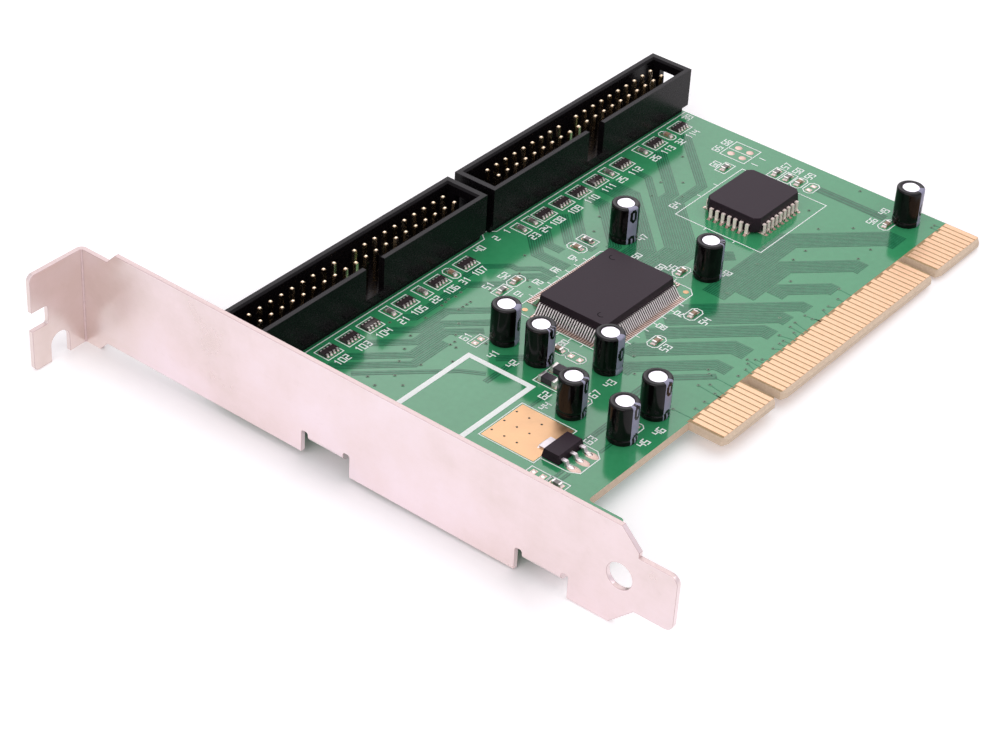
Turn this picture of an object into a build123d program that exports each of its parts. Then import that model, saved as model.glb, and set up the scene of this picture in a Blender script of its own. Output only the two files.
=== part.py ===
from build123d import *
import math
import os

# Short PCI drive controller card with two 40-way box headers and a full-height bracket.
# All sizes are in millimetres. While the pieces are made, X = 0 is the first contact's centre
# line and X grows away from the bracket, Y = 0 is the top of the contact bevel and Y grows
# towards the headers, and Z = 0 is the board's component face.

# Board: its length follows from the two headers that fill its back edge
board_thickness = 1.6
board_front_y = 6.4
board_back_y = 72.4
board_corner_radius = 0.6

# Ear of the board beside the bracket, which carries the front screw
ear_width = 14.2
ear_end_y = -0.7
ear_corner_radius = 0.8

# Edge connector: two keyed gaps split the contacts into three groups
contact_pitch = 1.27
contact_count = 62
contact_width = 1.02
contact_plating = 0.05
contact_length = 6.2
key_contact_numbers = (12, 50)
key_width = 1.9
key_depth = 6.6
key_corner_radius = 0.4
tongue_start_margin = 0.5
tongue_end_margin = 0.13
tongue_corner = 0.9
bevel_length = 0.7
bevel_drop = 0.4
plane_contact_numbers = (3, 5, 6, 9, 11, 15, 17, 19, 22, 25, 28, 31, 34, 36, 38, 41, 43, 46, 49, 54, 57, 59, 61, 62)
plane_contact_reach = 0.4

# Mounting bracket: folded sheet with a tab, a tongue and two lugs under the board
sheet = 0.86
bend_radius = 0.35
bracket_clearance = 0.4
bracket_plate_top = 13.5
bracket_width = 18.42
bracket_length = 120.02
bracket_tongue_end_y = -20.47
neck_drop = 2.05
neck_start_from_end = 8.55
neck_rise_from_end = 5.95
neck_slope = 1.9
tab_depth = 11.43
tab_corner_radius = 1.2
tab_foot_radius = 0.9
tongue_width = 10.0
tongue_shoulder_y = -13.6
tongue_shoulder_step = 0.9
tongue_slope = 4.0
tongue_tip_radius = 1.5
lock_hole_diameter = 4.6
lock_hole_y = -10.6
lock_hole_z = 4.35
screw_slot_width = 4.12
screw_slot_depth = 5.0
screw_slot_offset = 5.57
open_notch_depth = 3.5
open_notch_width = 3.6
open_notch_drop = 7.05
open_notch_radius = 0.5
lug_notch_width = 9.9
lug_centres_y = (3.2, 45.7)
lug_relief_width = 1.3
lug_relief_depth = 0.55
lug_relief_radius = 0.44
lug_width = 7.3
lug_reach = 8.6
lug_corner_radius = 1.2

# Screws through the board into the lugs
screw_diameter = 3.0
screw_head_diameter = 5.6
screw_head_height = 2.0
screw_length = 4.0
screw_recess_width = 0.8
screw_recess_length = 2.8
screw_recess_depth = 1.1
screw_inset = 5.3
board_hole_diameter = 3.4
thread_clearance = 0.03

# Box headers
header_ways = 20
pin_pitch = 2.54
pin_size = 0.64
pin_height = 8.85
pin_tail = 1.5
pin_point = 0.4
missing_pin = 9
header_end = 5.05
header_width = 8.9
header_height = 9.2
header_wall = 1.2
header_end_wall = 1.4
header_mouth_chamfer = 0.35
header_floor = 2.6
header_foot_height = 1.6
header_foot_inset = 0.9
header_foot_end_inset = 0.4
header_key_width = 4.5
header_key_floor = 3.0
header_window_width = 3.2
header_window_height = 4.7
header_gap = 1.96
header_near_margin = 1.22
header_centre_y = 67.56

# Flat chip with gull-wing leads on four sides
flat_chip_centre = (17.3, 36.55)
flat_chip_body = (20.0, 14.0)
flat_chip_standoff = 0.3
flat_chip_thickness = 2.7
flat_chip_draft = 8
flat_chip_corner = 0.5
flat_lead_pitch = 0.5
flat_lead_width = 0.22
flat_lead_thickness = 0.15
flat_lead_counts = (38, 26)
flat_lead_reach = 1.6
flat_lead_foot = 0.8
flat_lead_shoulder = 0.3

# Socket-style chip with leads folded under it
square_chip_centre = (57.9, 34.67)
square_chip_body = (13.97, 11.43)
square_chip_bottom = 0.5
square_chip_parting = 1.9
square_chip_top = 3.4
square_chip_draft = 7
square_chip_corner = 1.0
square_lead_pitch = 1.27
square_lead_width = 0.6
square_lead_thickness = 0.25
square_lead_counts = (9, 7)
square_lead_reach = 0.5
square_lead_fold = 1.3

# Voltage regulator
regulator_centre = (-20.75, 16.5)
regulator_body = (6.5, 3.5)
regulator_standoff = 0.1
regulator_thickness = 1.55
regulator_draft = 10
regulator_span = 7.0
regulator_lead_width = 0.7
regulator_lead_pitch = 2.3
regulator_tab_width = 3.0
regulator_lead_thickness = 0.25
regulator_lead_exit = 0.9
regulator_foot = 0.9

# Electrolytic capacitors: base centres
capacitor_diameter = 5.0
capacitor_height = 7.2
capacitor_places = (
    (-3.3, 42.0),
    (-4.0, 34.3),
    (1.8, 24.7),
    (-11.7, 21.8),
    (-11.6, 11.9),
    (-2.9, 11.9),
    (34.9, 46.1),
    (35.2, 28.4),
    (73.6, 12.3),
)

# Small flat parts: length, width, height
array_size = (3.2, 1.6, 0.5)
chip_size = (1.6, 0.8, 0.5)
bead_size = (3.2, 1.6, 1.1)
row_y = 60.8
array_row_x = (-30.5, -25.3, -20.2, -15.1, -6.2, 2.2, 9.8, 31.4, 36.5, 41.4, 46.5, 54.5, 64.6, 72.4)
row_resistor_x = (-10.05, -1.85, 24.9, 28.0, 50.4, 60.65)
row_capacitor_x = (5.85, 68.5)
resistors_along_x = ((7.6, 51.2), (66.4, 46.3), (71.4, 38.4), (71.4, 35.9))
resistors_along_y = ((29.9, 50.0), (-27.7, 12.2))
capacitors_along_x = ((11.5, 51.3), (13.3, 23.2), (23.9, 23.3), (33.0, 32.2), (70.3, 14.2), (71.4, 33.5))
capacitors_along_y = ((26.8, 50.0), (0.5, 33.8))
beads_along_y = ((-7.7, 29.3), (-4.5, 29.3))

# Places that follow from the sizes above
last_contact_x = (contact_count - 1) * contact_pitch
board_far_x = last_contact_x + contact_width / 2 + tongue_end_margin
header_length = (header_ways - 1) * pin_pitch + 2 * header_end
far_header_x = board_far_x - header_length / 2
near_header_x = far_header_x - header_gap - header_length
board_near_x = near_header_x - header_length / 2 - header_near_margin
tongue_near_x = -contact_width / 2 - tongue_start_margin
contact_edge_y = -bevel_length
board_bottom = -board_thickness

plate_inner_x = board_near_x - bracket_clearance
plate_outer_x = plate_inner_x - sheet
tab_end_x = plate_outer_x - tab_depth
plate_bottom = bracket_plate_top - bracket_width
neck_top = bracket_plate_top - neck_drop
neck_bottom = plate_bottom - neck_drop
bracket_top_y = bracket_tongue_end_y + bracket_length
tab_face_y = bracket_top_y - sheet
neck_start_y = bracket_top_y - neck_start_from_end
neck_rise_y = bracket_top_y - neck_rise_from_end
lug_top = board_bottom
lug_bottom = lug_top - sheet
lug_bend_top = lug_bottom + bend_radius + sheet
screw_x = plate_outer_x + screw_inset

# The finished card's origin is the middle of its box, at its lowest point
card_middle_x = (tab_end_x + board_far_x) / 2
card_middle_y = (bracket_tongue_end_y + bracket_top_y) / 2
card_bottom = neck_bottom

# Two places nearer than this are the same
touching = 0.001


def keep(name, *solids):
    """Moves the solids to the card's origin and writes them as one node."""
    shift = Pos(-card_middle_x, -card_middle_y, -card_bottom)
    moved = [shift * solid for solid in solids]
    for solid in moved:
        solid.label = name
    whole = moved[0] if len(moved) == 1 else Compound(label=name, children=moved)
    export_step(whole, "parts/" + name + ".step")


def block(x_range, y_range, z_range):
    """A box between two planes on each axis."""
    middle = [(low + high) / 2 for low, high in (x_range, y_range, z_range)]
    size = [high - low for low, high in (x_range, y_range, z_range)]
    return Pos(*middle) * Box(*size)


def prism(plane, points, depth):
    """A straight prism on a closed outline, standing on the plane."""
    return extrude(plane * make_face(Polyline(*points, close=True)), depth)


def chip_block(centre, size, turned=False):
    """A small flat part, resting on the component face."""
    length, width, height = size
    if turned:
        length, width = width, length
    body = Box(length, width, height, align=(Align.CENTER, Align.CENTER, Align.MIN))
    return Pos(centre[0], centre[1], 0) * body


def key_centre_x(position):
    """The middle of the keyed gap that starts at this contact position."""
    return (position - 0.5) * contact_pitch


def contact_numbers():
    """Positions that carry a contact, which skips two at each keyed gap."""
    keyed = [position + step for position in key_contact_numbers for step in (0, 1)]
    return [number for number in range(1, contact_count + 1) if number not in keyed]


def tongue_groups():
    """The X range of each of the connector's three groups of contacts."""
    lows = [tongue_near_x] + [key_centre_x(p) + key_width / 2 for p in key_contact_numbers]
    highs = [key_centre_x(p) - key_width / 2 for p in key_contact_numbers] + [board_far_x]
    return list(zip(lows, highs))


def at_ear_root(edge):
    """Whether an upright edge is the inner corner between the ear and the front edge."""
    middle = edge.center()
    on_ear = abs(middle.X - board_near_x - ear_width) < touching
    return on_ear and abs(middle.Y - board_front_y) < touching


def board_outline():
    """The board's plan: a rectangle, the connector tongue and its keyed gaps."""
    main = block((board_near_x, board_far_x), (board_front_y, board_back_y), (board_bottom, 0))
    corners = main.edges().filter_by(Axis.Z).sort_by(Axis.Y)[2:]
    plate = fillet(corners, board_corner_radius)
    ear_range = (board_near_x, board_near_x + ear_width)
    ear = block(ear_range, (ear_end_y, board_front_y), (board_bottom, 0))
    corners = ear.edges().filter_by(Axis.Z).sort_by(Axis.Y)[:2]
    plate += fillet(corners, ear_corner_radius)
    inner = [e for e in plate.edges().filter_by(Axis.Z) if at_ear_root(e)]
    plate = fillet(inner, ear_corner_radius)
    root_y = board_front_y + board_corner_radius
    for low, high in tongue_groups():
        group = block((low, high), (contact_edge_y, root_y), (board_bottom, 0))
        ends = group.edges().filter_by(Axis.Z).sort_by(Axis.Y)[:2]
        plate += chamfer(ends, tongue_corner)
    for position in key_contact_numbers:
        centre = key_centre_x(position)
        gap = (centre - key_width / 2, centre + key_width / 2)
        slot = block(gap, (board_front_y - key_width, key_depth), (board_bottom, 0))
        ends = slot.edges().filter_by(Axis.Z).sort_by(Axis.Y)[2:]
        plate -= fillet(ends, key_corner_radius)
    return plate


def bevel_cut(side):
    """The wedge taken off the contact edge, on the face above (1) or below (-1)."""
    face_z = 0 if side > 0 else board_bottom
    outline = ((0, face_z), (contact_edge_y, face_z), (contact_edge_y, face_z - side * bevel_drop))
    start = Plane.YZ.offset(tongue_near_x)
    return prism(start, outline, board_far_x - tongue_near_x)


def pin_places():
    """Each pin's place from its header's centre, without the one left out as a key."""
    first = -(header_ways - 1) * pin_pitch / 2
    places = []
    for row, y in enumerate((-pin_pitch / 2, pin_pitch / 2)):
        for index in range(header_ways):
            if row == 0 or index != missing_pin:
                places.append((first + index * pin_pitch, y))
    return places


def header_centres():
    """The two headers' centres on the board."""
    return ((near_header_x, header_centre_y), (far_header_x, header_centre_y))


def pin_bores(bottom, top):
    """Square passages of the pins' own section, for both headers."""
    bores = []
    for centre_x, centre_y in header_centres():
        for x, y in pin_places():
            low_x = centre_x + x - pin_size / 2
            low_y = centre_y + y - pin_size / 2
            bores.append(block((low_x, low_x + pin_size), (low_y, low_y + pin_size), (bottom, top)))
    return bores


def screw_places():
    """The screws' axes, over the middle of each lug."""
    return [(screw_x, y) for y in lug_centres_y]


def circuit_board():
    """The bare board with its bevelled connector, screw holes and pin passages."""
    plate = board_outline()
    plate -= bevel_cut(1)
    plate -= bevel_cut(-1)
    for x, y in screw_places():
        hole = Cylinder(board_hole_diameter / 2, board_thickness)
        plate -= Pos(x, y, board_bottom / 2) * hole
    plate -= pin_bores(board_bottom, 0)
    return plate


def contact(number, top_side):
    """One gilded contact, on the component face or the solder face."""
    x = (number - 1) * contact_pitch
    half = contact_width / 2
    low_z = 0 if top_side else board_bottom - contact_plating
    to_plane = top_side and number in plane_contact_numbers
    end_y = contact_length + (plane_contact_reach if to_plane else 0)
    return block((x - half, x + half), (0, end_y), (low_z, low_z + contact_plating))


def sheet_profile():
    """The bracket's section seen from above: plate, bend and tab."""
    inside = plate_inner_x
    outside = plate_outer_x
    reach = bend_radius + sheet
    corner = (outside - bend_radius, tab_face_y - bend_radius)
    lines = Polyline(
        (corner[0], tab_face_y),
        (tab_end_x, tab_face_y),
        (tab_end_x, bracket_top_y),
        (corner[0], bracket_top_y),
    )
    lines += Polyline(
        (inside, corner[1]),
        (inside, bracket_tongue_end_y),
        (outside, bracket_tongue_end_y),
        (outside, corner[1]),
    )
    lines += CenterArc(corner, reach, 0, 90)
    lines += CenterArc(corner, bend_radius, 0, 90)
    return make_face(lines.edges())


def plate_outline():
    """The bracket's long face seen from outside: tongue, slopes, plate and stepped neck."""
    tongue_middle = (bracket_plate_top + plate_bottom) / 2
    tongue_top = tongue_middle + tongue_width / 2
    tongue_bottom = tongue_middle - tongue_width / 2
    upper_slope = bracket_plate_top - tongue_top - tongue_shoulder_step
    lower_slope = tongue_bottom - plate_bottom
    points = (
        (bracket_tongue_end_y, tongue_bottom),
        (tongue_shoulder_y, tongue_bottom),
        (tongue_shoulder_y + lower_slope, plate_bottom),
        (neck_rise_y, plate_bottom),
        (neck_rise_y + neck_slope, neck_bottom),
        (bracket_top_y, neck_bottom),
        (bracket_top_y, neck_top),
        (neck_start_y + neck_slope, neck_top),
        (neck_start_y, bracket_plate_top),
        (tongue_shoulder_y + upper_slope, bracket_plate_top),
        (tongue_shoulder_y, tongue_top + tongue_shoulder_step),
        (tongue_shoulder_y, tongue_top),
        (bracket_tongue_end_y, tongue_top),
    )
    outline = prism(Plane.YZ.offset(tab_end_x), points, plate_inner_x - tab_end_x)
    tips = outline.edges().filter_by(Axis.X).group_by(Axis.Y)[0]
    return fillet(tips, tongue_tip_radius)


def tab_cuts():
    """The tab's screw slot and its open notch, and the corners taken off."""
    across = (tab_face_y, bracket_top_y)
    slot_x = plate_outer_x - screw_slot_offset
    crown_z = neck_bottom + screw_slot_depth - screw_slot_width / 2
    half = screw_slot_width / 2
    slot = block((slot_x - half, slot_x + half), across, (neck_bottom, crown_z))
    crown = Rot(90, 0, 0) * Cylinder(half, sheet)
    slot += Pos(slot_x, (tab_face_y + bracket_top_y) / 2, crown_z) * crown
    notch_top = neck_top - open_notch_drop
    notch_x = (tab_end_x, tab_end_x + open_notch_depth)
    notch = block(notch_x, across, (notch_top - open_notch_width, notch_top))
    inner = notch.edges().filter_by(Axis.Y).sort_by(Axis.X)[2:]
    return [slot, fillet(inner, open_notch_radius)]


def lug_notch(centre_y):
    """The opening in the plate's edge that one lug was folded out of."""
    half = lug_notch_width / 2
    x_range = (plate_outer_x, plate_inner_x)
    opening = block(x_range, (centre_y - half, centre_y + half), (plate_bottom, lug_bend_top))
    for side in (-1, 1):
        edge_y = centre_y + side * half
        inner_y = edge_y - side * lug_relief_width
        y_range = (min(edge_y, inner_y), max(edge_y, inner_y))
        relief = block(x_range, y_range, (lug_bend_top, lug_bend_top + lug_relief_depth))
        top = relief.edges().filter_by(Axis.X).group_by(Axis.Z)[-1]
        opening += fillet(top, lug_relief_radius)
    return opening


def lug(centre_y):
    """A lug folded in under the board, with its threaded hole."""
    reach = bend_radius + sheet
    corner = (plate_outer_x + reach, lug_bend_top)
    end_x = plate_outer_x + lug_reach
    lines = Polyline(
        (plate_outer_x, lug_bend_top),
        (plate_inner_x, lug_bend_top),
    )
    lines += CenterArc(corner, reach, 180, 90)
    lines += CenterArc(corner, bend_radius, 180, 90)
    lines += Polyline(
        (corner[0], lug_bottom),
        (end_x, lug_bottom),
        (end_x, lug_top),
        (corner[0], lug_top),
    )
    section = make_face(lines.edges())
    start = Plane((0, centre_y + lug_width / 2, 0), x_dir=(1, 0, 0), z_dir=(0, -1, 0))
    strip = extrude(start * section, lug_width)
    ends = strip.edges().filter_by(Axis.Z).group_by(Axis.X)[-1]
    strip = fillet(ends, lug_corner_radius)
    hole = Cylinder(screw_diameter / 2 + thread_clearance, sheet)
    return strip - Pos(screw_x, centre_y, lug_bottom + sheet / 2) * hole


def mounting_bracket():
    """The folded steel bracket."""
    height = neck_top - neck_bottom + neck_drop
    body = extrude(Plane.XY.offset(neck_bottom) * sheet_profile(), height)
    body &= plate_outline()
    body -= tab_cuts()
    outer = body.edges().filter_by(Axis.Y).group_by(Axis.X)[0].sort_by(Axis.Z)
    body = fillet(outer[-1:], tab_corner_radius)
    outer = body.edges().filter_by(Axis.Y).group_by(Axis.X)[0].sort_by(Axis.Z)
    body = fillet(outer[:1], tab_foot_radius)
    for centre_y in lug_centres_y:
        body -= lug_notch(centre_y)
        body += lug(centre_y)
    lock_hole = Rot(0, 90, 0) * Cylinder(lock_hole_diameter / 2, sheet)
    body -= Pos((plate_outer_x + plate_inner_x) / 2, lock_hole_y, lock_hole_z) * lock_hole
    return body


def bracket_screw(place):
    """A pan-head screw with a cross recess, its head on the component face."""
    up = (Align.CENTER, Align.CENTER, Align.MIN)
    down = (Align.CENTER, Align.CENTER, Align.MAX)
    head = Cylinder(screw_head_diameter / 2, screw_head_height, align=up)
    shank = Cylinder(screw_diameter / 2, screw_length, align=down)
    screw = head + shank
    for size in ((screw_recess_length, screw_recess_width), (screw_recess_width, screw_recess_length)):
        arm = Box(size[0], size[1], screw_recess_depth, align=down)
        screw -= Pos(0, 0, screw_head_height) * arm
    return Pos(place[0], place[1], 0) * screw


def header_shell(centre):
    """One moulded shroud: floor with pin passages, walls, key slot and end windows."""
    up = (Align.CENTER, Align.CENTER, Align.MIN)
    half_length = header_length / 2
    half_width = header_width / 2
    foot = Box(
        header_length - 2 * header_foot_end_inset,
        header_width - 2 * header_foot_inset,
        header_foot_height,
        align=up,
    )
    body = Box(header_length, header_width, header_height - header_foot_height, align=up)
    shell = foot + Pos(0, 0, header_foot_height) * body
    well_length = header_length - 2 * header_end_wall
    well_width = header_width - 2 * header_wall
    shell -= Pos(0, 0, header_floor) * Box(well_length, well_width, header_height - header_floor, align=up)
    mouth = Rectangle(well_length + 2 * header_mouth_chamfer, well_width + 2 * header_mouth_chamfer)
    mouth = extrude(mouth, header_mouth_chamfer, taper=45)
    shell -= Pos(0, 0, header_height) * Rot(180, 0, 0) * mouth
    key_x = (-header_key_width / 2, header_key_width / 2)
    shell -= block(key_x, (-half_width, header_wall - half_width), (header_key_floor, header_height))
    window_y = (-header_window_width / 2, header_window_width / 2)
    window_z = (header_floor, header_floor + header_window_height)
    shell -= block((-half_length, header_end_wall - half_length), window_y, window_z)
    shell -= block((half_length - header_end_wall, half_length), window_y, window_z)
    for x, y in pin_places():
        shell -= Pos(x, y, 0) * Box(pin_size, pin_size, header_floor, align=up)
    return Pos(centre[0], centre[1], 0) * shell


def pyramid(side, height):
    """A pyramid on a square foot."""
    half = side / 2
    foot = [Vector(x, y, 0) for x, y in ((-half, -half), (half, -half), (half, half), (-half, half))]
    tip = Vector(0, 0, height)
    faces = [Face(Wire.make_polygon(foot[::-1]))]
    for first, second in zip(foot, foot[1:] + foot[:1]):
        faces.append(Face(Wire.make_polygon([first, second, tip])))
    return Solid(Shell(faces))


def header_pins(centre):
    """The square pins of one header, each with a short pyramid for its point."""
    up = (Align.CENTER, Align.CENTER, Align.MIN)
    tail_z = board_bottom - pin_tail
    shoulder = pin_height - pin_point - tail_z
    pin = Box(pin_size, pin_size, shoulder, align=up)
    pin += Pos(0, 0, shoulder) * pyramid(pin_size, pin_point)
    return [Pos(centre[0] + x, centre[1] + y, tail_z) * pin for x, y in pin_places()]


def drafted_block(size, height, draft):
    """A block that narrows upwards by the draft angle, standing on Z = 0."""
    return extrude(Rectangle(*size), height, taper=draft)


def moulded_body(size, bottom, parting, top, draft, corner):
    """A chip body that narrows away from its parting line, up and down."""
    upper = extrude(chamfered_plan(size, corner), top - parting, taper=draft)
    lower = extrude(chamfered_plan(size, corner), parting - bottom, taper=draft)
    return Pos(0, 0, parting) * (upper + Rot(180, 0, 0) * lower)


def chamfered_plan(size, corner):
    """A rectangle with its four corners cut alike."""
    plan = Rectangle(*size)
    return chamfer(plan.vertices(), corner)


def lead_row(profile_points, width, count, pitch, offset):
    """One side's leads: prisms of the profile, spaced along X and facing -Y."""
    leads = []
    for index in range(count):
        x = (index - (count - 1) / 2) * pitch
        start = Plane((x + width / 2, -offset, 0), x_dir=(0, -1, 0), z_dir=(-1, 0, 0))
        leads.append(prism(start, profile_points, width))
    return leads


def four_sides(profile_points, width, counts, pitch, body, centre):
    """Leads on all four sides of a chip body, front, back, left and right."""
    placed = []
    long_side = lead_row(profile_points, width, counts[0], pitch, body[1] / 2)
    short_side = lead_row(profile_points, width, counts[1], pitch, body[0] / 2)
    for turn, row in ((0, long_side), (180, long_side), (90, short_side), (270, short_side)):
        placed += [Pos(centre[0], centre[1], 0) * Rot(0, 0, turn) * one for one in row]
    return placed


def flat_chip_parting():
    """The height at which the flat chip's leads leave its body."""
    return flat_chip_standoff + flat_chip_thickness / 2


def controller_chip():
    """The flat chip's body, parted halfway up."""
    top = flat_chip_standoff + flat_chip_thickness
    body = moulded_body(
        flat_chip_body, flat_chip_standoff, flat_chip_parting(), top, flat_chip_draft, flat_chip_corner
    )
    return Pos(flat_chip_centre[0], flat_chip_centre[1], 0) * body


def controller_chip_leads():
    """Gull-wing leads: a short shoulder and a slope down to a foot on the board."""
    top = flat_chip_parting() + flat_lead_thickness / 2
    heel = flat_lead_reach - flat_lead_foot
    points = (
        (0, top),
        (flat_lead_shoulder, top),
        (flat_lead_reach, 0),
        (heel, 0),
        (0, top - flat_lead_thickness),
    )
    return four_sides(
        points, flat_lead_width, flat_lead_counts, flat_lead_pitch, flat_chip_body, flat_chip_centre
    )


def firmware_chip():
    """The chip body between folded-under leads."""
    body = moulded_body(
        square_chip_body,
        square_chip_bottom,
        square_chip_parting,
        square_chip_top,
        square_chip_draft,
        square_chip_corner,
    )
    return Pos(square_chip_centre[0], square_chip_centre[1], 0) * body


def firmware_chip_leads():
    """Leads that leave the parting line, drop to the board and turn in under the body."""
    thick = square_lead_thickness
    top = square_chip_parting + thick / 2
    reach = square_lead_reach
    points = (
        (0, top),
        (reach, top),
        (reach, 0),
        (reach - square_lead_fold, 0),
        (reach - thick, thick),
        (reach - thick, top - thick),
        (0, top - thick),
    )
    return four_sides(
        points, square_lead_width, square_lead_counts, square_lead_pitch, square_chip_body, square_chip_centre
    )


def voltage_regulator():
    """The regulator's moulded body."""
    body = drafted_block(regulator_body, regulator_thickness, regulator_draft)
    return Pos(regulator_centre[0], regulator_centre[1], regulator_standoff) * body


def regulator_leads():
    """Three bent leads on one side and the wide heat tab on the other."""
    out = regulator_span / 2 - regulator_body[1] / 2
    thick = regulator_lead_thickness
    exit_z = regulator_lead_exit
    foot = out - regulator_foot
    inset = (exit_z - regulator_standoff) * math.tan(math.radians(regulator_draft))
    points = (
        (-inset, exit_z),
        (foot, exit_z),
        (foot + thick, thick),
        (out, thick),
        (out, 0),
        (foot - thick, 0),
        (foot - thick, exit_z - thick),
        (-inset, exit_z - thick),
    )
    row = lead_row(points, regulator_lead_width, 3, regulator_lead_pitch, regulator_body[1] / 2)
    half = regulator_tab_width / 2
    side_y = regulator_body[1] / 2
    tab = block((-half, half), (side_y, side_y + out), (0, thick + regulator_standoff))
    cut = voltage_regulator()
    place = Pos(regulator_centre[0], regulator_centre[1], 0)
    return [place * one - cut for one in row + [tab]]


def capacitor(centre):
    """A sleeved aluminium can, standing on the board."""
    up = (Align.CENTER, Align.CENTER, Align.MIN)
    can = Cylinder(capacitor_diameter / 2, capacitor_height, align=up)
    return Pos(centre[0], centre[1], 0) * can


def row_part(x, size):
    """A part of the row beside the headers, with its length along the board's width."""
    return chip_block((x, row_y), size, turned=True)


os.makedirs("parts", exist_ok=True)

keep("circuit_board", circuit_board())
keep("contact_fingers", *[contact(number, side) for side in (True, False) for number in contact_numbers()])
keep("mounting_bracket", mounting_bracket())
keep("bracket_screws", *[bracket_screw(place) for place in screw_places()])
for header_name, header_centre in zip(("near_header", "far_header"), header_centres()):
    keep(header_name + "_shell", header_shell(header_centre))
    keep(header_name + "_pins", *header_pins(header_centre))
keep("controller_chip", controller_chip())
keep("controller_chip_leads", *controller_chip_leads())
keep("firmware_chip", firmware_chip())
keep("firmware_chip_leads", *firmware_chip_leads())
keep("voltage_regulator", voltage_regulator())
keep("regulator_leads", *regulator_leads())
for number, place in enumerate(capacitor_places, 1):
    keep("capacitor_" + str(number), capacitor(place))
for number, x in enumerate(array_row_x, 1):
    keep("resistor_array_" + str(number), chip_block((x, row_y), array_size))
keep(
    "chip_resistors",
    *[row_part(x, chip_size) for x in row_resistor_x],
    *[chip_block(place, chip_size) for place in resistors_along_x],
    *[chip_block(place, chip_size, turned=True) for place in resistors_along_y],
)
keep(
    "chip_capacitors",
    *[row_part(x, chip_size) for x in row_capacitor_x],
    *[chip_block(place, chip_size) for place in capacitors_along_x],
    *[chip_block(place, chip_size, turned=True) for place in capacitors_along_y],
)
keep("ferrite_beads", *[chip_block(place, bead_size, turned=True) for place in beads_along_y])
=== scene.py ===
import math

import bmesh
import bpy
from mathutils import Euler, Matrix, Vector


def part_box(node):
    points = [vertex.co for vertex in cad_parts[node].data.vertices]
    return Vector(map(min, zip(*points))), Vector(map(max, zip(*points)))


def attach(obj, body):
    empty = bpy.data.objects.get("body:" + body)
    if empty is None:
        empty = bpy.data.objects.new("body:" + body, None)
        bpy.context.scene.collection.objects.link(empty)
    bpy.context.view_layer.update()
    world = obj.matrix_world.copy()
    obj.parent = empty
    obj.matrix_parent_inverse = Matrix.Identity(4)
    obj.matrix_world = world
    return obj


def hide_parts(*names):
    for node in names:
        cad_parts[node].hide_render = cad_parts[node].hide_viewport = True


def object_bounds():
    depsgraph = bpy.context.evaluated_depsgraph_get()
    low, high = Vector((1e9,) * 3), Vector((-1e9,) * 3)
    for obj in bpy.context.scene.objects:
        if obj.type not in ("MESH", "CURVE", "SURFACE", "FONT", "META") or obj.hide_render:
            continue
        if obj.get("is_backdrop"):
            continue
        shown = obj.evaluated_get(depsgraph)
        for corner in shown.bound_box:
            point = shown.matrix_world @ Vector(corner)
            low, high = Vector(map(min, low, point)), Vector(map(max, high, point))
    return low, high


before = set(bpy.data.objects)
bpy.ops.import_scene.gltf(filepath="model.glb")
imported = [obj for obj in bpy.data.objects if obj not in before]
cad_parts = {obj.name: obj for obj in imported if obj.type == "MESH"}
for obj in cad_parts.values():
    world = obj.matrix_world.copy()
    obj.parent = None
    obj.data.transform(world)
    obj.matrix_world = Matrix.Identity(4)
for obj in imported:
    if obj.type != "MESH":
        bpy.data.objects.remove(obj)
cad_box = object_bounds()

MM = 0.001

# Card millimetres: X = 0 on the first contact's centre line, Y = 0 on the contacts' ends,
# Z = 0 on the board's component face.
CONTACT_WIDTH = 1.02
CONTACT_PITCH = 1.27
KEYED_POSITIONS = (12, 13, 50, 51)
CONTACT_COUNT = 62
contact_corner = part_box("contact_fingers")[0]
board_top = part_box("circuit_board")[1].z
ORIGIN = Vector((contact_corner.x + CONTACT_WIDTH / 2 * MM, contact_corner.y, board_top))


def at(x, y, z=0.0):
    """A point given in card millimetres, in the frame's metres."""
    return ORIGIN + Vector((x, y, z)) * MM


def card_box(node):
    """A node's lowest and highest corners in card millimetres."""
    low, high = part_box(node)
    return (low - ORIGIN) / MM, (high - ORIGIN) / MM


def middle(node):
    """The middle of a node's box, seen from above."""
    low, high = card_box(node)
    return (low.x + high.x) / 2, (low.y + high.y) / 2


board_corner = card_box("circuit_board")[0]
BOARD_NEAR_X = board_corner.x
BOARD_BOTTOM = board_corner.z
MASK_EDGE_Y = 6.75
TONGUE_START_X = -1.2
FLAT_NORMAL = 0.9

# Heights of the thin layers above the component face
SUNK = -0.02
CLEARING_TOP = 0.006
CLEARING_STEP = 0.0003
TRACE_TOP = 0.03
VIA_TOP = 0.05
VIA_PLUG_TOP = 0.025
PAD_TOP = 0.04
PRINT_TOP = 0.045

# Places shared with the solids
ROW_Y = 60.8
ARRAY_SIZE = (3.2, 1.6, 0.5)
ARRAY_STEPS = (-1.2, -0.4, 0.4, 1.2)
CHIP_SIZE = (1.6, 0.8, 0.5)
BEAD_SIZE = (3.2, 1.6, 1.1)
ARRAY_NODES = ["resistor_array_%d" % number for number in range(1, 15)]
ARRAY_X = [middle(node)[0] for node in ARRAY_NODES]
ROW_RESISTOR_X = (-10.05, -1.85, 24.9, 28.0, 50.4, 60.65)
ROW_CAPACITOR_X = (5.85, 68.5)
RESISTORS_ALONG_X = ((7.6, 51.2), (66.4, 46.3), (71.4, 38.4), (71.4, 35.9))
RESISTORS_ALONG_Y = ((29.9, 50.0), (-27.7, 12.2))
CAPACITORS_ALONG_X = ((11.5, 51.3), (13.3, 23.2), (23.9, 23.3), (33.0, 32.2), (70.3, 14.2), (71.4, 33.5))
CAPACITORS_ALONG_Y = ((26.8, 50.0), (0.5, 33.8))
BEADS = ((-7.7, 29.3), (-4.5, 29.3))
CAN_NODES = ["capacitor_%d" % number for number in range(1, 10)]
CAN_PLACES = [middle(node) for node in CAN_NODES]
can_low, can_high = card_box(CAN_NODES[-1])
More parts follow.
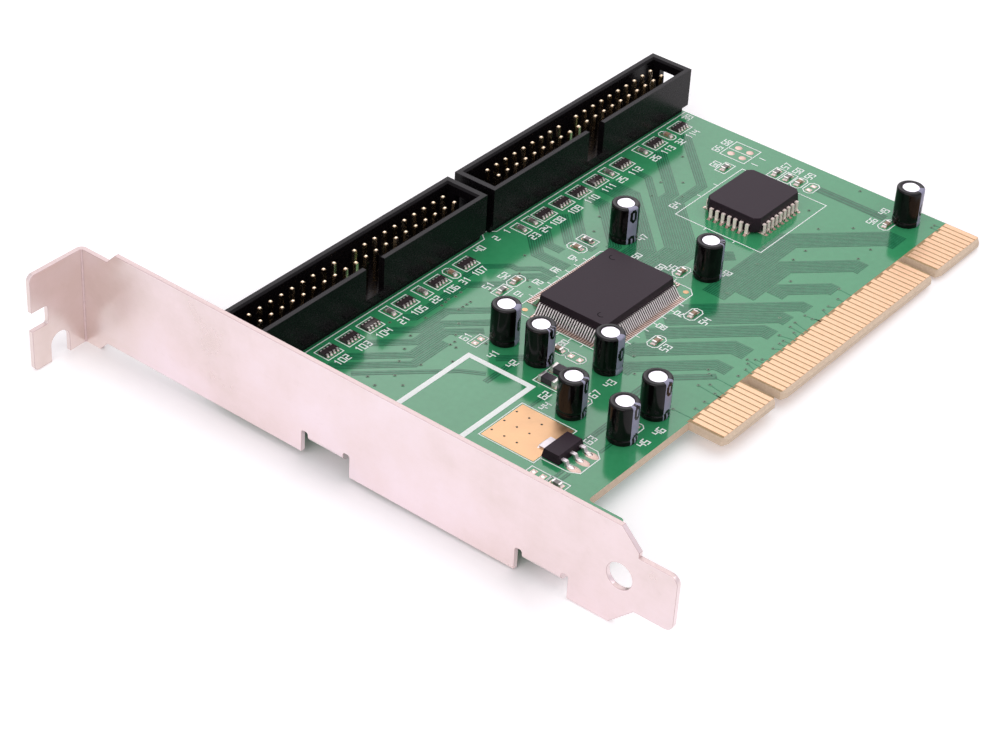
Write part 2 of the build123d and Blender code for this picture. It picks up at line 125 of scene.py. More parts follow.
CAN_RADIUS = (can_high.x - can_low.x) / 2
CAN_HEIGHT = can_high.z

FLAT_CHIP = (17.3, 36.55)
FLAT_BODY = (20.0, 14.0)
FLAT_COUNTS = (38, 26)
FLAT_PITCH = 0.5
SQUARE_CHIP = (57.9, 34.67)
SQUARE_BODY = (13.97, 11.43)
SQUARE_COUNTS = (9, 7)
SQUARE_PITCH = 1.27
REGULATOR = (-20.75, 16.5)
REGULATOR_LEAD_PITCH = 2.3

HEADERS = ("near_header", "far_header")
HEADER_X = [middle(name + "_shell")[0] for name in HEADERS]
HEADER_Y = middle("far_header_shell")[1]
PIN_PITCH = 2.54
HEADER_WAYS = 20
MISSING_PIN = 9


# Node helpers for the procedural materials

def add_node(tree, kind, feeds=None, **settings):
    """Adds a shader node. Its feeds go to its inputs, each an output to link or a plain value."""
    made = tree.nodes.new(kind)
    for key, value in settings.items():
        setattr(made, key, value)
    for socket, value in (feeds or {}).items():
        if hasattr(value, "is_linked"):
            tree.links.new(value, made.inputs[socket])
        else:
            made.inputs[socket].default_value = value
    return made


class Shader:
    """A material's node tree, with constants on the surface's own sockets and short calls for its nodes."""

    def __init__(self, name, **constants):
        self.material = bpy.data.materials.new(name)
        self.material.use_nodes = True
        self.tree = self.material.node_tree
        self.surface = self.tree.nodes["Principled BSDF"]
        self.place = self.node("ShaderNodeTexCoord").outputs["Object"]
        for key, value in constants.items():
            self.surface.inputs[key.replace("_", " ")].default_value = value

    def node(self, kind, feeds=None, **settings):
        return add_node(self.tree, kind, feeds, **settings)

    def feed(self, socket, output):
        """Links an output to one of the surface's sockets."""
        self.tree.links.new(output, self.surface.inputs[socket])

    def noise(self, scale, detail=4.0, roughness=0.55, stretch=None):
        """Noise over the piece, with its scale in cells to the metre."""
        place = self.place
        if stretch:
            place = self.node("ShaderNodeMapping", {"Vector": place, "Scale": stretch}).outputs["Vector"]
        feeds = {"Scale": scale, "Detail": detail, "Roughness": roughness, "Vector": place}
        return self.node("ShaderNodeTexNoise", feeds).outputs["Fac"]

    def ramp(self, source, *stops):
        """Colours along a value: each stop is its position and colour."""
        made = self.node("ShaderNodeValToRGB", {"Fac": source})
        band = made.color_ramp
        while len(band.elements) < len(stops):
            band.elements.new(0.5)
        for element, (position, colour) in zip(band.elements, stops):
            element.position = position
            element.color = (*colour, 1)
        return made.outputs["Color"]

    def greys(self, source, low, high, start=0.3, end=0.7):
        """A value's range turned into another range."""
        feeds = {"Value": source, "From Min": start, "From Max": end, "To Min": low, "To Max": high}
        return self.node("ShaderNodeMapRange", feeds).outputs["Result"]

    def mix(self, factor, first, second):
        """Blends two colours."""
        return self.node("ShaderNodeMix", {0: factor, 6: first, 7: second}, data_type="RGBA").outputs[2]

    def maths(self, operation, *values):
        return self.node("ShaderNodeMath", dict(enumerate(values)), operation=operation).outputs[0]

    def parts(self, vector):
        """The X, Y and Z of a vector."""
        return self.node("ShaderNodeSeparateXYZ", {0: vector}).outputs

    def bump(self, height, strength, distance):
        """Fine relief, with its height in metres."""
        made = self.node("ShaderNodeBump", {"Height": height, "Strength": strength, "Distance": distance})
        self.feed("Normal", made.outputs["Normal"])


def laminate_colour(shader):
    """Glass-fibre laminate at a cut edge: beige grey, with the weave's fine layers."""
    layers = shader.noise(9000, 3, stretch=(0.12, 0.12, 1.6))
    tone = shader.mix(0.45, layers, shader.noise(2600, 5))
    return shader.ramp(tone, (0.3, (0.57, 0.44, 0.31)), (0.52, (0.67, 0.53, 0.39)), (0.7, (0.75, 0.61, 0.46)))


def mask_material():
    """The board: green solder mask on both faces, bare laminate at its edges and contact tongue."""
    shader = Shader("solder_mask")
    fine = shader.noise(900, 4)
    tone = shader.mix(0.35, shader.noise(45, 3), fine)
    mask = shader.ramp(tone, (0.35, (0.030, 0.262, 0.103)), (0.65, (0.041, 0.306, 0.126)))
    normal = shader.parts(shader.node("ShaderNodeNewGeometry").outputs["Normal"])
    flat = shader.maths("GREATER_THAN", shader.maths("ABSOLUTE", normal["Z"]), FLAT_NORMAL)
    where = shader.parts(shader.place)
    behind = shader.maths("GREATER_THAN", where["Y"], at(0, MASK_EDGE_Y).y)
    beside_tongue = shader.maths("LESS_THAN", where["X"], at(TONGUE_START_X, 0).x)
    masked = shader.maths("MULTIPLY", flat, shader.maths("MAXIMUM", behind, beside_tongue))
    # the tongue's bare laminate between the contacts: its own brown tone, made darker with painted shade
    # between the contacts
    tongue = shader.ramp(fine, (0.3, (0.30, 0.20, 0.09)), (0.7, (0.42, 0.30, 0.15)))
    bare = shader.mix(flat, laminate_colour(shader), tongue)
    shader.feed("Base Color", shader.mix(masked, bare, mask))
    shader.feed("Roughness", shader.greys(masked, 0.6, 0.13, 0, 1))
    shader.bump(shader.noise(700, 3), 0.1, 0.00002)
    return shader.material


def covered_material(name, low, high, rough=0.14):
    """Solder mask over copper or over bare laminate, in a tone of its own."""
    shader = Shader(name, Roughness=rough, Specular_IOR_Level=0.38)
    shader.feed("Base Color", shader.ramp(shader.noise(700, 4), (0.35, low), (0.65, high)))
    shader.bump(shader.noise(700, 3), 0.1, 0.00002)
    return shader.material


def print_material():
    """White legend ink, a little uneven at its edges."""
    shader = Shader("legend_ink", Roughness=0.55)
    tone = shader.noise(5200, 3)
    shader.feed("Base Color", shader.ramp(tone, (0.3, (0.86, 0.93, 0.88)), (0.62, (0.95, 0.99, 0.96))))
    return shader.material


def metal_material(name, low, high, rough, scale=1800, relief=0.000006, metallic=1.0):
    """Plated metal with fine tone and gloss variation."""
    shader = Shader(name, Metallic=metallic)
    grain = shader.noise(scale, 5, 0.6)
    shader.feed("Base Color", shader.ramp(grain, (0.32, low), (0.68, high)))
    shader.feed("Roughness", shader.greys(grain, rough - 0.06, rough + 0.08))
    shader.bump(grain, 0.25, relief)
    return shader.material


# Where along the bracket painted shade darkens its plating, towards the bend and the tab
PAINTED_SHADE_FROM_Y = 80.0
PAINTED_SHADE_FULL_Y = 92.0


def bracket_material():
    """Satin nickel-plated sheet: pale and pinkish, cloudy, with fine rolled lines and scuffs, and painted
    shade towards the bend and the tab.
    """
    shader = Shader("nickel_sheet", Metallic=0.95)
    cloud = shader.noise(42, 6, 0.62)
    lines = shader.noise(1500, 4, 0.6, (1.0, 0.12, 1.0))
    tone = shader.mix(0.06, cloud, lines)
    plating_stops = ((0.34, (0.70, 0.59, 0.57)), (0.5, (0.775, 0.657, 0.662)), (0.64, (0.81, 0.70, 0.73)))
    # painted shade: a darker copy of the plating colours, blended in towards the bend and the tab
    painted_shade_stops = ((0.34, (0.65, 0.555, 0.507)), (0.5, (0.72, 0.618, 0.59)), (0.64, (0.753, 0.658, 0.65)))
    along = shader.parts(shader.place)["Y"]
    painted_shade_share = shader.greys(along, 0.0, 1.0, at(0, PAINTED_SHADE_FROM_Y).y, at(0, PAINTED_SHADE_FULL_Y).y)
    sheet = shader.mix(painted_shade_share, shader.ramp(tone, *plating_stops), shader.ramp(tone, *painted_shade_stops))
    scuffed = shader.greys(shader.noise(520, 8, 0.78, (1.0, 0.6, 1.0)), 0.0, 0.4, 0.58, 0.86)
    shader.feed("Base Color", shader.mix(scuffed, sheet, (0.58, 0.48, 0.47, 1)))
    shader.feed("Roughness", shader.greys(cloud, 0.26, 0.33))
    shader.bump(lines, 0.05, 0.000006)
    return shader.material


def moulding_material(name, low, high, rough, relief, scale=2600, gloss=0.5):
    """Black moulding compound or glass-filled plastic, with its fine grained skin."""
    shader = Shader(name, Specular_IOR_Level=gloss)
    grain = shader.noise(scale, 5, 0.65)
    shader.feed("Base Color", shader.ramp(grain, (0.3, low), (0.7, high)))
    shader.feed("Roughness", shader.greys(grain, rough - 0.05, rough + 0.07))
    shader.bump(grain, 0.35, relief)
    return shader.material


def sleeve_material(name, low, high, rough):
    """Shrink sleeve, smooth and glossy."""
    shader = Shader(name, Specular_IOR_Level=0.22)
    cloud = shader.noise(600, 3)
    shader.feed("Base Color", shader.ramp(cloud, (0.3, low), (0.7, high)))
    shader.feed("Roughness", shader.greys(cloud, rough, rough + 0.08))
    shader.bump(shader.noise(900, 2), 0.15, 0.00003)
    return shader.material


board_material = mask_material()
trace_material = covered_material("mask_over_trace", (0.022, 0.215, 0.092), (0.030, 0.255, 0.114))
clearing_material = covered_material("mask_over_laminate", (0.012, 0.118, 0.051), (0.018, 0.150, 0.065))
via_material = covered_material("mask_over_via", (0.085, 0.20, 0.11), (0.13, 0.25, 0.15), 0.25)
via_hole_material = covered_material("via_hole", (0.006, 0.010, 0.008), (0.012, 0.018, 0.014), 0.6)
bare_material = covered_material("bare_laminate", (0.060, 0.036, 0.024), (0.10, 0.062, 0.042), 0.5)
ink_material = print_material()
gold_material = metal_material("gilded_contact", (0.70, 0.455, 0.28), (0.77, 0.54, 0.36), 0.46)
gilded_pad_material = metal_material("gilded_pad", (0.60, 0.37, 0.20), (0.66, 0.43, 0.25), 0.42, 500)
pin_material = metal_material("gold_flash_pin", (0.68, 0.55, 0.37), (0.76, 0.63, 0.45), 0.2, 300, 0.0)
tin_material = metal_material("satin_tin", (0.68, 0.64, 0.61), (0.80, 0.76, 0.73), 0.36, relief=0.000003)
folded_lead_material = metal_material(
    "tinned_folded_lead", (0.98, 0.80, 0.73), (1.0, 0.87, 0.81), 0.45, metallic=0.1
)
tab_material = metal_material("regulator_lead", (0.56, 0.52, 0.53), (0.68, 0.63, 0.64), 0.4)
solder_material = metal_material("solder", (0.52, 0.46, 0.42), (0.80, 0.74, 0.70), 0.28, 900, 0.00002)
pad_material = metal_material("tinned_pad", (0.46, 0.33, 0.27), (0.62, 0.48, 0.42), 0.36, 1200)
screw_material = metal_material("plated_screw", (0.55, 0.53, 0.53), (0.74, 0.72, 0.72), 0.32)
can_top_material = metal_material("can_aluminium", (0.86, 0.83, 0.88), (0.92, 0.90, 0.94), 0.34)
steel_material = bracket_material()
sheared_material = metal_material("sheared_edge", (0.55, 0.45, 0.43), (0.65, 0.545, 0.52), 0.5)
crease_material = metal_material("sheet_crease", (0.50, 0.385, 0.38), (0.58, 0.455, 0.45), 0.4)
header_material = moulding_material(
    "header_moulding_black", (0.0025, 0.002, 0.0025), (0.005, 0.004, 0.005), 0.27, 0.000003, gloss=0.12
)
chip_material = moulding_material(
    "chip_compound", (0.018, 0.009, 0.015), (0.028, 0.016, 0.024), 0.42, 0.00001, 3000, 0.16
)
resistor_material = moulding_material(
    "resistor_glaze", (0.030, 0.021, 0.023), (0.050, 0.038, 0.040), 0.22, 0.00001
)
chip_resistor_material = moulding_material(
    "resistor_glass", (0.12, 0.11, 0.10), (0.18, 0.165, 0.15), 0.25, 0.00001
)
ceramic_material = moulding_material("ceramic_body", (0.26, 0.16, 0.10), (0.38, 0.25, 0.17), 0.45, 0.00001)
bead_material = moulding_material(
    "ferrite_body", (0.026, 0.02, 0.026), (0.05, 0.042, 0.05), 0.45, 0.00002, gloss=0.3
)
# painted shade for the flat chip's mould dimples: a near-black finish for the arcs drawn over them
dimple_shade_material = moulding_material(
    "painted_dimple_shade", (0.002, 0.001, 0.002), (0.004, 0.003, 0.004), 0.5, 0.000004, gloss=0.05
)
black_sleeve_material = sleeve_material(
    "black_sleeve", (0.0012, 0.0006, 0.0008), (0.0028, 0.0018, 0.0022), 0.1
)
stripe_material = sleeve_material("pale_stripe", (0.25, 0.25, 0.35), (0.32, 0.32, 0.43), 0.3)


# Shapes, collected in card millimetres

NUMERAL_HEIGHT = 1.35
SMALL_NUMERAL = 1.15


class Drawing:
    """Closed solids of one piece, gathered in card millimetres."""

    def __init__(self):
        self.points = []
        self.faces = []
        self.kinds = []

    def add(self, points, faces, kinds=None):
        """Adds a solid. Kinds are its faces' material numbers, all 0 where none are given."""
        start = len(self.points)
        self.points += points
        self.faces += [[start + i for i in face] for face in faces]
        self.kinds += kinds or [0] * len(faces)

    def slab(self, outline, low, high):
        """A flat prism on a closed outline."""
        count = len(outline)
        points = [(x, y, z) for z in (low, high) for x, y in outline]
        faces = [list(range(count))[::-1], list(range(count, 2 * count))]
        faces += [[i, (i + 1) % count, count + (i + 1) % count, count + i] for i in range(count)]
        self.add(points, faces)

    def box(self, low, high):
        self.slab(rectangle(low, high), low[2], high[2])

    def patch(self, centre, size):
        """A bare pad: a rectangle about a centre."""
        x, y = centre
        self.box((x - size[0] / 2, y - size[1] / 2, SUNK), (x + size[0] / 2, y + size[1] / 2, PAD_TOP))

    def disc(self, centre, radius, low, high, sides=20):
        self.slab(oval(centre, (radius, radius), sides), low, high)

    def bar(self, corners, closed):
        """A bar through sections of four corners each, with end faces where it isn't closed."""
        count = len(corners) // 4
        faces = []
        for index in range(count if closed else count - 1):
            a = 4 * index
            b = 4 * ((index + 1) % count)
            faces += [[a, b, b + 1, a + 1], [a + 3, b + 3, b + 2, a + 2]]
            faces += [[a + 1, b + 1, b + 3, a + 3], [a + 2, b + 2, b, a]]
        if not closed:
            last = 4 * (count - 1)
            faces += [[0, 1, 3, 2], [last + 2, last + 3, last + 1, last]]
        self.add(corners, faces)

    def ring(self, centre, radii, low, high, sides, start=0.0, sweep=360.0):
        """A flat ring between two radii, or an arc of one."""
        closed = sweep >= 360.0
        corners = []
        for index in range(sides if closed else sides + 1):
            angle = math.radians(start + sweep * index / sides)
            for radius in radii:
                x = centre[0] + radius * math.cos(angle)
                y = centre[1] + radius * math.sin(angle)
                corners += [(x, y, low), (x, y, high)]
        self.bar(corners, closed)

    def ribbon(self, points, width, low, high, closed=False):
        """A flat line of one width, mitred at its corners."""
        corners = []
        for sides in zip(beside(points, width / 2, closed), beside(points, -width / 2, closed)):
            corners += [(x, y, z) for x, y in sides for z in (low, high)]
        self.bar(corners, closed)

    def turned(self, centre, profile, sides, kind=None):
        """A solid of revolution about an upright axis; the profile runs from axis to axis."""
        points = []
        rows = []
        for radius, z in profile:
            spots = oval(centre, (radius, radius), sides) if radius else [centre]
            rows.append(range(len(points), len(points) + len(spots)))
            points += [(x, y, z) for x, y in spots]
        faces = []
        kinds = []
        for step, (lower, upper) in enumerate(zip(rows, rows[1:])):
            for index in range(sides):
                around = (index, (index + 1) % sides)
                low_corners = [lower[i % len(lower)] for i in around]
                high_corners = [upper[i % len(upper)] for i in around[::-1]]
                faces.append(list(dict.fromkeys(low_corners + high_corners)))
                kinds.append(kind(step, index) if kind else 0)
        self.add(points, faces, kinds)

    def peak(self, rings, tip):
        """A solid through level rings of points, flat at its foot and closed at its tip."""
        sides = len(rings[0])
        last = sides * (len(rings) - 1)
        faces = [list(range(sides))[::-1]]
        for foot in range(0, last, sides):
            for index in range(sides):
                a = foot + index
                b = foot + (index + 1) % sides
                faces.append([a, b, b + sides, a + sides])
        faces += [[last + i, last + (i + 1) % sides, last + sides] for i in range(sides)]
        self.add([point for ring in rings for point in ring] + [tip], faces)

    def digits(self, number, corner, height=NUMERAL_HEIGHT, width=0.2, upward=False):
        """Plain stroke numerals, from their lower left corner."""
        pen = 0.0
        for sign in str(number):
            for stroke, closed in STROKES[sign]:
                line = []
                for u, v in stroke:
                    across = pen + u * height * 0.55
                    up = v * height / 2
                    spot = (-up, across) if upward else (across, up)
                    line.append((corner[0] + spot[0], corner[1] + spot[1]))
                self.ribbon(line, width, SUNK, PRINT_TOP, closed)
            pen += height * 0.82


STROKES = {
    "0": [(((0, 0), (1, 0), (1, 2), (0, 2)), True)],
    "1": [(((0.2, 1.6), (0.6, 2), (0.6, 0)), False)],
    "2": [(((0, 2), (1, 2), (1, 1), (0, 1), (0, 0), (1, 0)), False)],
    "3": [(((0, 2), (1, 2), (1, 0), (0, 0)), False), (((0.2, 1), (1, 1)), False)],
    "4": [(((0, 2), (0, 1), (1, 1)), False), (((1, 2), (1, 0)), False)],
    "5": [(((1, 2), (0, 2), (0, 1), (1, 1), (1, 0), (0, 0)), False)],
    "6": [(((1, 2), (0, 2), (0, 0), (1, 0), (1, 1), (0, 1)), False)],
    "7": [(((0, 2), (1, 2), (0.4, 0)), False)],
    "8": [(((0, 0), (1, 0), (1, 2), (0, 2)), True), (((0, 1), (1, 1)), False)],
    "9": [(((1, 1), (0, 1), (0, 2), (1, 2), (1, 0), (0, 0)), False)],
}
SHARP_ANGLE = math.radians(28)
BEVEL_ANGLE = 0.5
FLAT_ANGLE = math.radians(0.5)
DRAWN_SMOOTH_DEGREES = 35
SOFTENED_SMOOTH_DEGREES = 50
MERGE_DISTANCE = 0.000001


def rectangle(low, high):
    """The four corners of a rectangle, seen from above."""
    return [(low[0], low[1]), (high[0], low[1]), (high[0], high[1]), (low[0], high[1])]


def oval(centre, radii, sides):
    """Points of an oval, or of a circle where its two radii are the same."""
    turns = [2 * math.pi * index / sides for index in range(sides)]
    return [(centre[0] + radii[0] * math.cos(t), centre[1] + radii[1] * math.sin(t)) for t in turns]


def beside(points, distance, closed=False):
    """The line that runs beside another at a distance, mitred at its corners."""
    line = [Vector(p) for p in points]
    count = len(line)
    result = []
    for index, point in enumerate(line):
        before = line[index - 1] if index or closed else None
        after = line[(index + 1) % count] if index < count - 1 or closed else None
        arriving = (point - before).normalized() if before is not None else (after - point).normalized()
        leaving = (after - point).normalized() if after is not None else arriving
        between = (arriving + leaving).normalized()
        normal = Vector((-between.y, between.x))
        reach = normal.dot(Vector((-arriving.y, arriving.x)))
        spot = point + normal * (distance / max(reach, 0.35))
        result.append((spot.x, spot.y))
    return result


def rounded(work, angle, radius, **settings):
    """Bevels a mesh's edges that turn by more than an angle."""
    sharp = [edge for edge in work.edges if len(edge.link_faces) == 2 and edge.calc_face_angle() > angle]
    bmesh.ops.bevel(work, geom=sharp, offset=radius * MM, segments=2, affect="EDGES", **settings)


def link_object(name, data):
    """A new object in the scene."""
    made = bpy.data.objects.new(name, data)
    bpy.context.scene.collection.objects.link(made)
    return made


def put_on_card(name, work, materials, smooth_angle=None, replaced=None):
    """Makes a worked mesh a piece that rides on the card, in the place of a node where one is given."""
    mesh = bpy.data.meshes.new(name)
    work.to_mesh(mesh)
    work.free()
    for material in materials:
        mesh.materials.append(material)
    if smooth_angle:
        mesh.polygons.foreach_set("use_smooth", [True] * len(mesh.polygons))
        mesh.set_sharp_from_angle(angle=math.radians(smooth_angle))
    made = link_object(name, mesh)
    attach(made, "root")
    if replaced:
        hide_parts(replaced)
    return made


def piece(name, slot, drawing, *materials, bevel=0.0, smooth=False, replaced=None):
    """Turns a drawing into one piece that rides on the card."""
    drawn = bpy.data.meshes.new(name + "_drawn")
    drawn.from_pydata([at(*p) for p in drawing.points], [], drawing.faces)
    drawn.polygons.foreach_set("material_index", drawing.kinds)
    work = bmesh.new()
    work.from_mesh(drawn)
    bpy.data.meshes.remove(drawn)
    bmesh.ops.recalc_face_normals(work, faces=work.faces)
    if bevel:
        rounded(work, BEVEL_ANGLE, bevel, profile=0.6)
    put_on_card(name, work, materials, DRAWN_SMOOTH_DEGREES if smooth or bevel else None, replaced)


def softened(node, name, slot, radius, *materials):
    """A solid again with its sharp edges rounded a little, as moulding and shearing leave them.

    A second finish goes on the rounded edges and the upright bend, and a third on the flat edges
    that face up."""
    work = bmesh.new()
    work.from_mesh(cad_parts[node].data)
    bmesh.ops.remove_doubles(work, verts=work.verts, dist=MERGE_DISTANCE)
    bmesh.ops.dissolve_limit(work, angle_limit=FLAT_ANGLE, verts=work.verts, edges=work.edges)
    bevel_finish = 1 if len(materials) > 1 else -1
    rounded(work, SHARP_ANGLE, radius, profile=0.5, clamp_overlap=True, material=bevel_finish)
    if len(materials) > 2:
        for face in work.faces:
            x, y, z = [abs(part) for part in face.normal]
            if face.normal.z > FLAT_NORMAL and face.material_index == 0:
                face.material_index = 2
            if z < 0.1 and x > 0.2 and y > 0.2:
                face.material_index = 1
    made = put_on_card(name, work, materials, SOFTENED_SMOOTH_DEGREES, node)
    made.modifiers.new("even_shading", "WEIGHTED_NORMAL").keep_sharp = True


# Copper under the mask

TRACE_BUNDLES = (
    (((-28.3, 58.2), (-18.6, 48.5), (-10.4, 48.5)), 4, 0.42),
    (((-24.9, 58.4), (-16.9, 50.4), (-8.0, 50.4), (-3.6, 46.0)), 4, 0.42),
    (((-19.8, 58.4), (-13.7, 52.3), (-6.6, 52.3), (-0.6, 46.3), (3.6, 46.3)), 4, 0.42),
    (((-14.9, 58.4), (-10.7, 54.2), (-3.4, 54.2), (2.0, 48.8), (4.4, 48.8)), 4, 0.42),
    (((-27.4, 54.2), (-15.0, 41.8), (-12.8, 38.2)), 2, 0.5),
    (((-14.6, 36.9), (-8.3, 36.9)), 2, 0.5),
    (((-15.0, 27.5), (-9.0, 27.5)), 1, 0.5),
    (((-16.4, 15.5), (-10.0, 15.5)), 2, 0.5),
    (((-17.0, 12.1), (-13.6, 12.1)), 1, 0.5),
    (((-28.0, 13.5), (-24.4, 13.5)), 1, 0.5),
    (((-28.0, 12.4), (-24.4, 12.4)), 1, 0.5),
    (((-8.4, 39.8), (-4.4, 35.8), (-4.4, 30.0)), 3, 0.5),
    (
        ((-9.9, 58.4), (-8.4, 57.0), (4.6, 57.0), (9.4, 52.2), (12.6, 52.2), (15.6, 49.2), (15.6, 47.4)),
        4, 0.42
    ),
    (((6.4, 58.6), (10.8, 58.6), (14.6, 54.8), (14.6, 53.4), (17.4, 50.6), (17.4, 47.4)), 3, 0.42),
    (((25.2, 58.4), (20.6, 53.8), (20.6, 47.4)), 5, 0.44),
    (((28.4, 58.4), (24.2, 54.2), (24.2, 51.2)), 4, 0.44),
    (((33.6, 58.4), (26.8, 51.6)), 4, 0.44),
    (((37.0, 58.4), (28.4, 49.8), (28.4, 47.4)), 4, 0.44),
    (((41.2, 58.4), (41.2, 55.0), (31.6, 45.4), (30.4, 45.4)), 5, 0.44),
    (((46.6, 58.4), (46.6, 53.6), (34.4, 41.4), (29.2, 41.4)), 10, 0.44),
    (((54.0, 58.4), (54.0, 54.6), (37.7, 38.3), (29.2, 38.3)), 3, 0.44),
    (((62.8, 58.4), (52.6, 48.2), (50.4, 48.2), (38.5, 36.3), (29.2, 36.3)), 5, 0.44),
    (((71.0, 58.4), (58.4, 45.8), (51.1, 45.8), (39.4, 34.1), (29.2, 34.1)), 4, 0.44),
    (((41.3, 30.6), (43.5, 28.4)), 6, 0.44),
    (((8.9, 26.0), (8.9, 24.6), (20.6, 12.9), (20.6, 10.0)), 8, 0.44),
    (((13.9, 26.0), (27.9, 12.0), (27.9, 10.0)), 7, 0.44),
    (((19.2, 26.0), (33.2, 12.0), (33.2, 10.4)), 7, 0.44),
    (((23.6, 26.0), (38.4, 11.2), (38.4, 9.8)), 6, 0.44),
    (((2.4, 22.4), (4.4, 22.4), (14.6, 12.2), (14.6, 9.6)), 6, 0.44),
    (((-2.0, 17.2), (5.0, 17.2), (12.0, 10.2)), 2, 0.7),
    (((31.0, 24.2), (54.0, 24.2), (66.6, 11.6), (66.6, 9.2)), 10, 0.44),
    (((34.3, 20.0), (46.4, 20.0), (55.2, 11.2), (55.2, 9.6)), 8, 0.44),
    (((37.9, 16.4), (40.4, 16.4), (46.2, 10.6), (46.2, 9.4)), 7, 0.44),
    (((72.0, 30.0), (72.0, 15.6)), 2, 0.9),
)

VIAS = (
    (2.5, 7.7), (5, 7.7), (7.9, 7.7), (14.5, 7.7), (16.8, 7.8), (18.4, 8.5), (19.3, 9.2), (20.2, 8.2),
    (21, 7.4), (24.8, 7.8), (26.7, 7.8), (27.8, 7.8), (28.7, 9.2), (31, 7.8), (32, 9.2), (33.6, 9.3),
    (36.5, 9.2), (36.5, 7.8), (40, 7.8), (41.5, 7.8), (44.5, 7.8), (47.2, 9.3), (8, 11), (9.4, 9.7),
    (0, 10.3), (11.7, 11.5), (12.6, 12.3), (3.5, 20.5), (7.4, 23.5), (33, 22.7), (44, 24), (43.5, 16.8),
    (33, 12), (49.5, 20.2), (53.3, 20.2), (49.3, 26.2), (60.8, 22.4), (65.3, 18), (57.5, 12), (61.5, 12),
    (75.1, 7.8), (76.1, 7.8), (76.7, 23.8), (64.8, 27), (-26.2, 51.7), (-27.2, 49.3), (-19.6, 50.7),
    (-23, 48.7), (-18, 47.5), (-24.2, 46), (-13.8, 44.3), (-10.4, 47.6), (-9.3, 47.6), (-10.4, 46.4),
    (-12.9, 54), (-16.4, 52.3), (-12.3, 59), (-7.7, 48.7), (-4.8, 50.4), (-6.2, 43.5), (13.7, 52.3),
    (13, 50), (11.7, 48.5), (6.3, 52.7), (18.7, 55.1), (-7.3, 55.5), (-2.7, 55.8), (-1.5, 56),
    (-0.5, 56.2), (0.9, 55.8), (2.5, 56), (-1.7, 53), (-0.6, 53), (0.4, 53), (1.4, 53), (37.5, 53.2),
    (33, 51), (49.5, 50.5), (54.3, 52), (57, 49), (53, 46.3), (64.3, 54.3),
)
VIA_RADII = (0.32, 0.15)
VIA_SIDES = (16, 12)
STRIP_MARGIN = 0.15
TRACE_WIDTH = 0.2

# Stubs from the contacts to the vias behind them, and leads on both sides of the resistor arrays
STUB_WIDTH = 0.22
STUB_START_Y = 6.3
STUB_BEND_Y = 6.9
STUB_END_Y = 7.2
STUB_REACH_Y = 12.0
ARRAY_LEAD_START = 0.9
ARRAY_LEAD_BACK_Y = 63.1
ARRAY_LEAD_FRONT_Y = 58.4


def bundle(traces, clearing, course, width, trace_heights, clearing_heights):
    """Fine parallel traces along one course, in a strip cleared of copper."""
    points, count, pitch = course
    clearing.ribbon(points, count * pitch + STRIP_MARGIN, *clearing_heights)
    for index in range(count):
        traces.ribbon(beside(points, (index - (count - 1) / 2) * pitch), width, *trace_heights)


def copper():
    """Traces, the strips cleared for them, vias and the stubs that reach the contacts."""
    traces = Drawing()
    clearing = Drawing()
    for number, course in enumerate(TRACE_BUNDLES):
        strip_top = CLEARING_TOP + CLEARING_STEP * number
        bundle(traces, clearing, course, TRACE_WIDTH, (SUNK, TRACE_TOP), (SUNK, strip_top))
    for x, y in VIAS:
        number = round(x / CONTACT_PITCH)
        if y < STUB_REACH_Y and number + 1 not in KEYED_POSITIONS and number < CONTACT_COUNT:
            foot = number * CONTACT_PITCH
            stub = ((foot, STUB_START_Y), (foot, STUB_BEND_Y), (x, max(y, STUB_END_Y)))
            traces.ribbon(stub, STUB_WIDTH, SUNK, TRACE_TOP)
    for x in ARRAY_X:
        for step in ARRAY_STEPS:
            for side, end in ((ARRAY_LEAD_START, ARRAY_LEAD_BACK_Y), (-ARRAY_LEAD_START, ARRAY_LEAD_FRONT_Y)):
                lead = ((x + step, ROW_Y + side), (x + step, end))
                traces.ribbon(lead, TRACE_WIDTH, SUNK, TRACE_TOP)
    piece("traces", "board_laminate", traces, trace_material)
    piece("cleared_strips", "board_laminate", clearing, clearing_material)
    rings = Drawing()
    holes = Drawing()
    ring_sides, hole_sides = VIA_SIDES
    for place in VIAS:
        rings.ring(place, VIA_RADII, SUNK, VIA_TOP, ring_sides)
        holes.disc(place, VIA_RADII[1], SUNK, VIA_PLUG_TOP, hole_sides)
        rings.ring(place, VIA_RADII, BOARD_BOTTOM - VIA_TOP, BOARD_BOTTOM - SUNK, ring_sides)
        holes.disc(place, VIA_RADII[1], BOARD_BOTTOM - VIA_PLUG_TOP, BOARD_BOTTOM - SUNK, hole_sides)
    piece("via_rings", "board_laminate", rings, via_material)
    piece("via_holes", "board_laminate", holes, via_hole_material)


# White legend

FINE_LINE = 0.17
NUMERAL_ROW_Y = 57.0
NUMERAL_HALF_STEP = 0.41
HIDDEN_SPOTS = ((-8.7, 21.9), (-8.6, 11.8))
HEADER_LINE = (
    (BOARD_NEAR_X + 1.2, 63.4), (17.9, 63.4), (18.9, 64.7), (20.3, 64.7), (21.3, 63.4), (77.9, 63.4)
)
BRACKET_SIDE_LINE = ((-40.0, 43.5), (-10.6, 43.5), (-10.6, 30.6), (-40.0, 30.6))
REGULATOR_LINE = (
    (-24.3, 18.1), (-24.2, 12.8), (-23.3, 11.1), (-18.3, 11.1), (-17.0, 12.5), (-17.0, 18.1)
)

# Single outlines: lowest corner, highest corner, corner cut
OUTLINES = (
    ((4.4, 26.8), (29.8, 46.3), 1.2),
    ((47.4, 25.6), (68.3, 43.8), 0),
    ((-26.0, 18.1), (-15.0, 29.0), 0),
    ((-8.2, 44.0), (-4.8, 45.9), 0),
    ((-28.7, 13.9), (-26.7, 17.8), 0),
    ((70.0, 44.6), (75.6, 50.0), 0),
    ((69.6, 29.8), (73.2, 31.9), 0.6),
    ((-0.6, 28.4), (1.6, 32.0), 0.6),
)

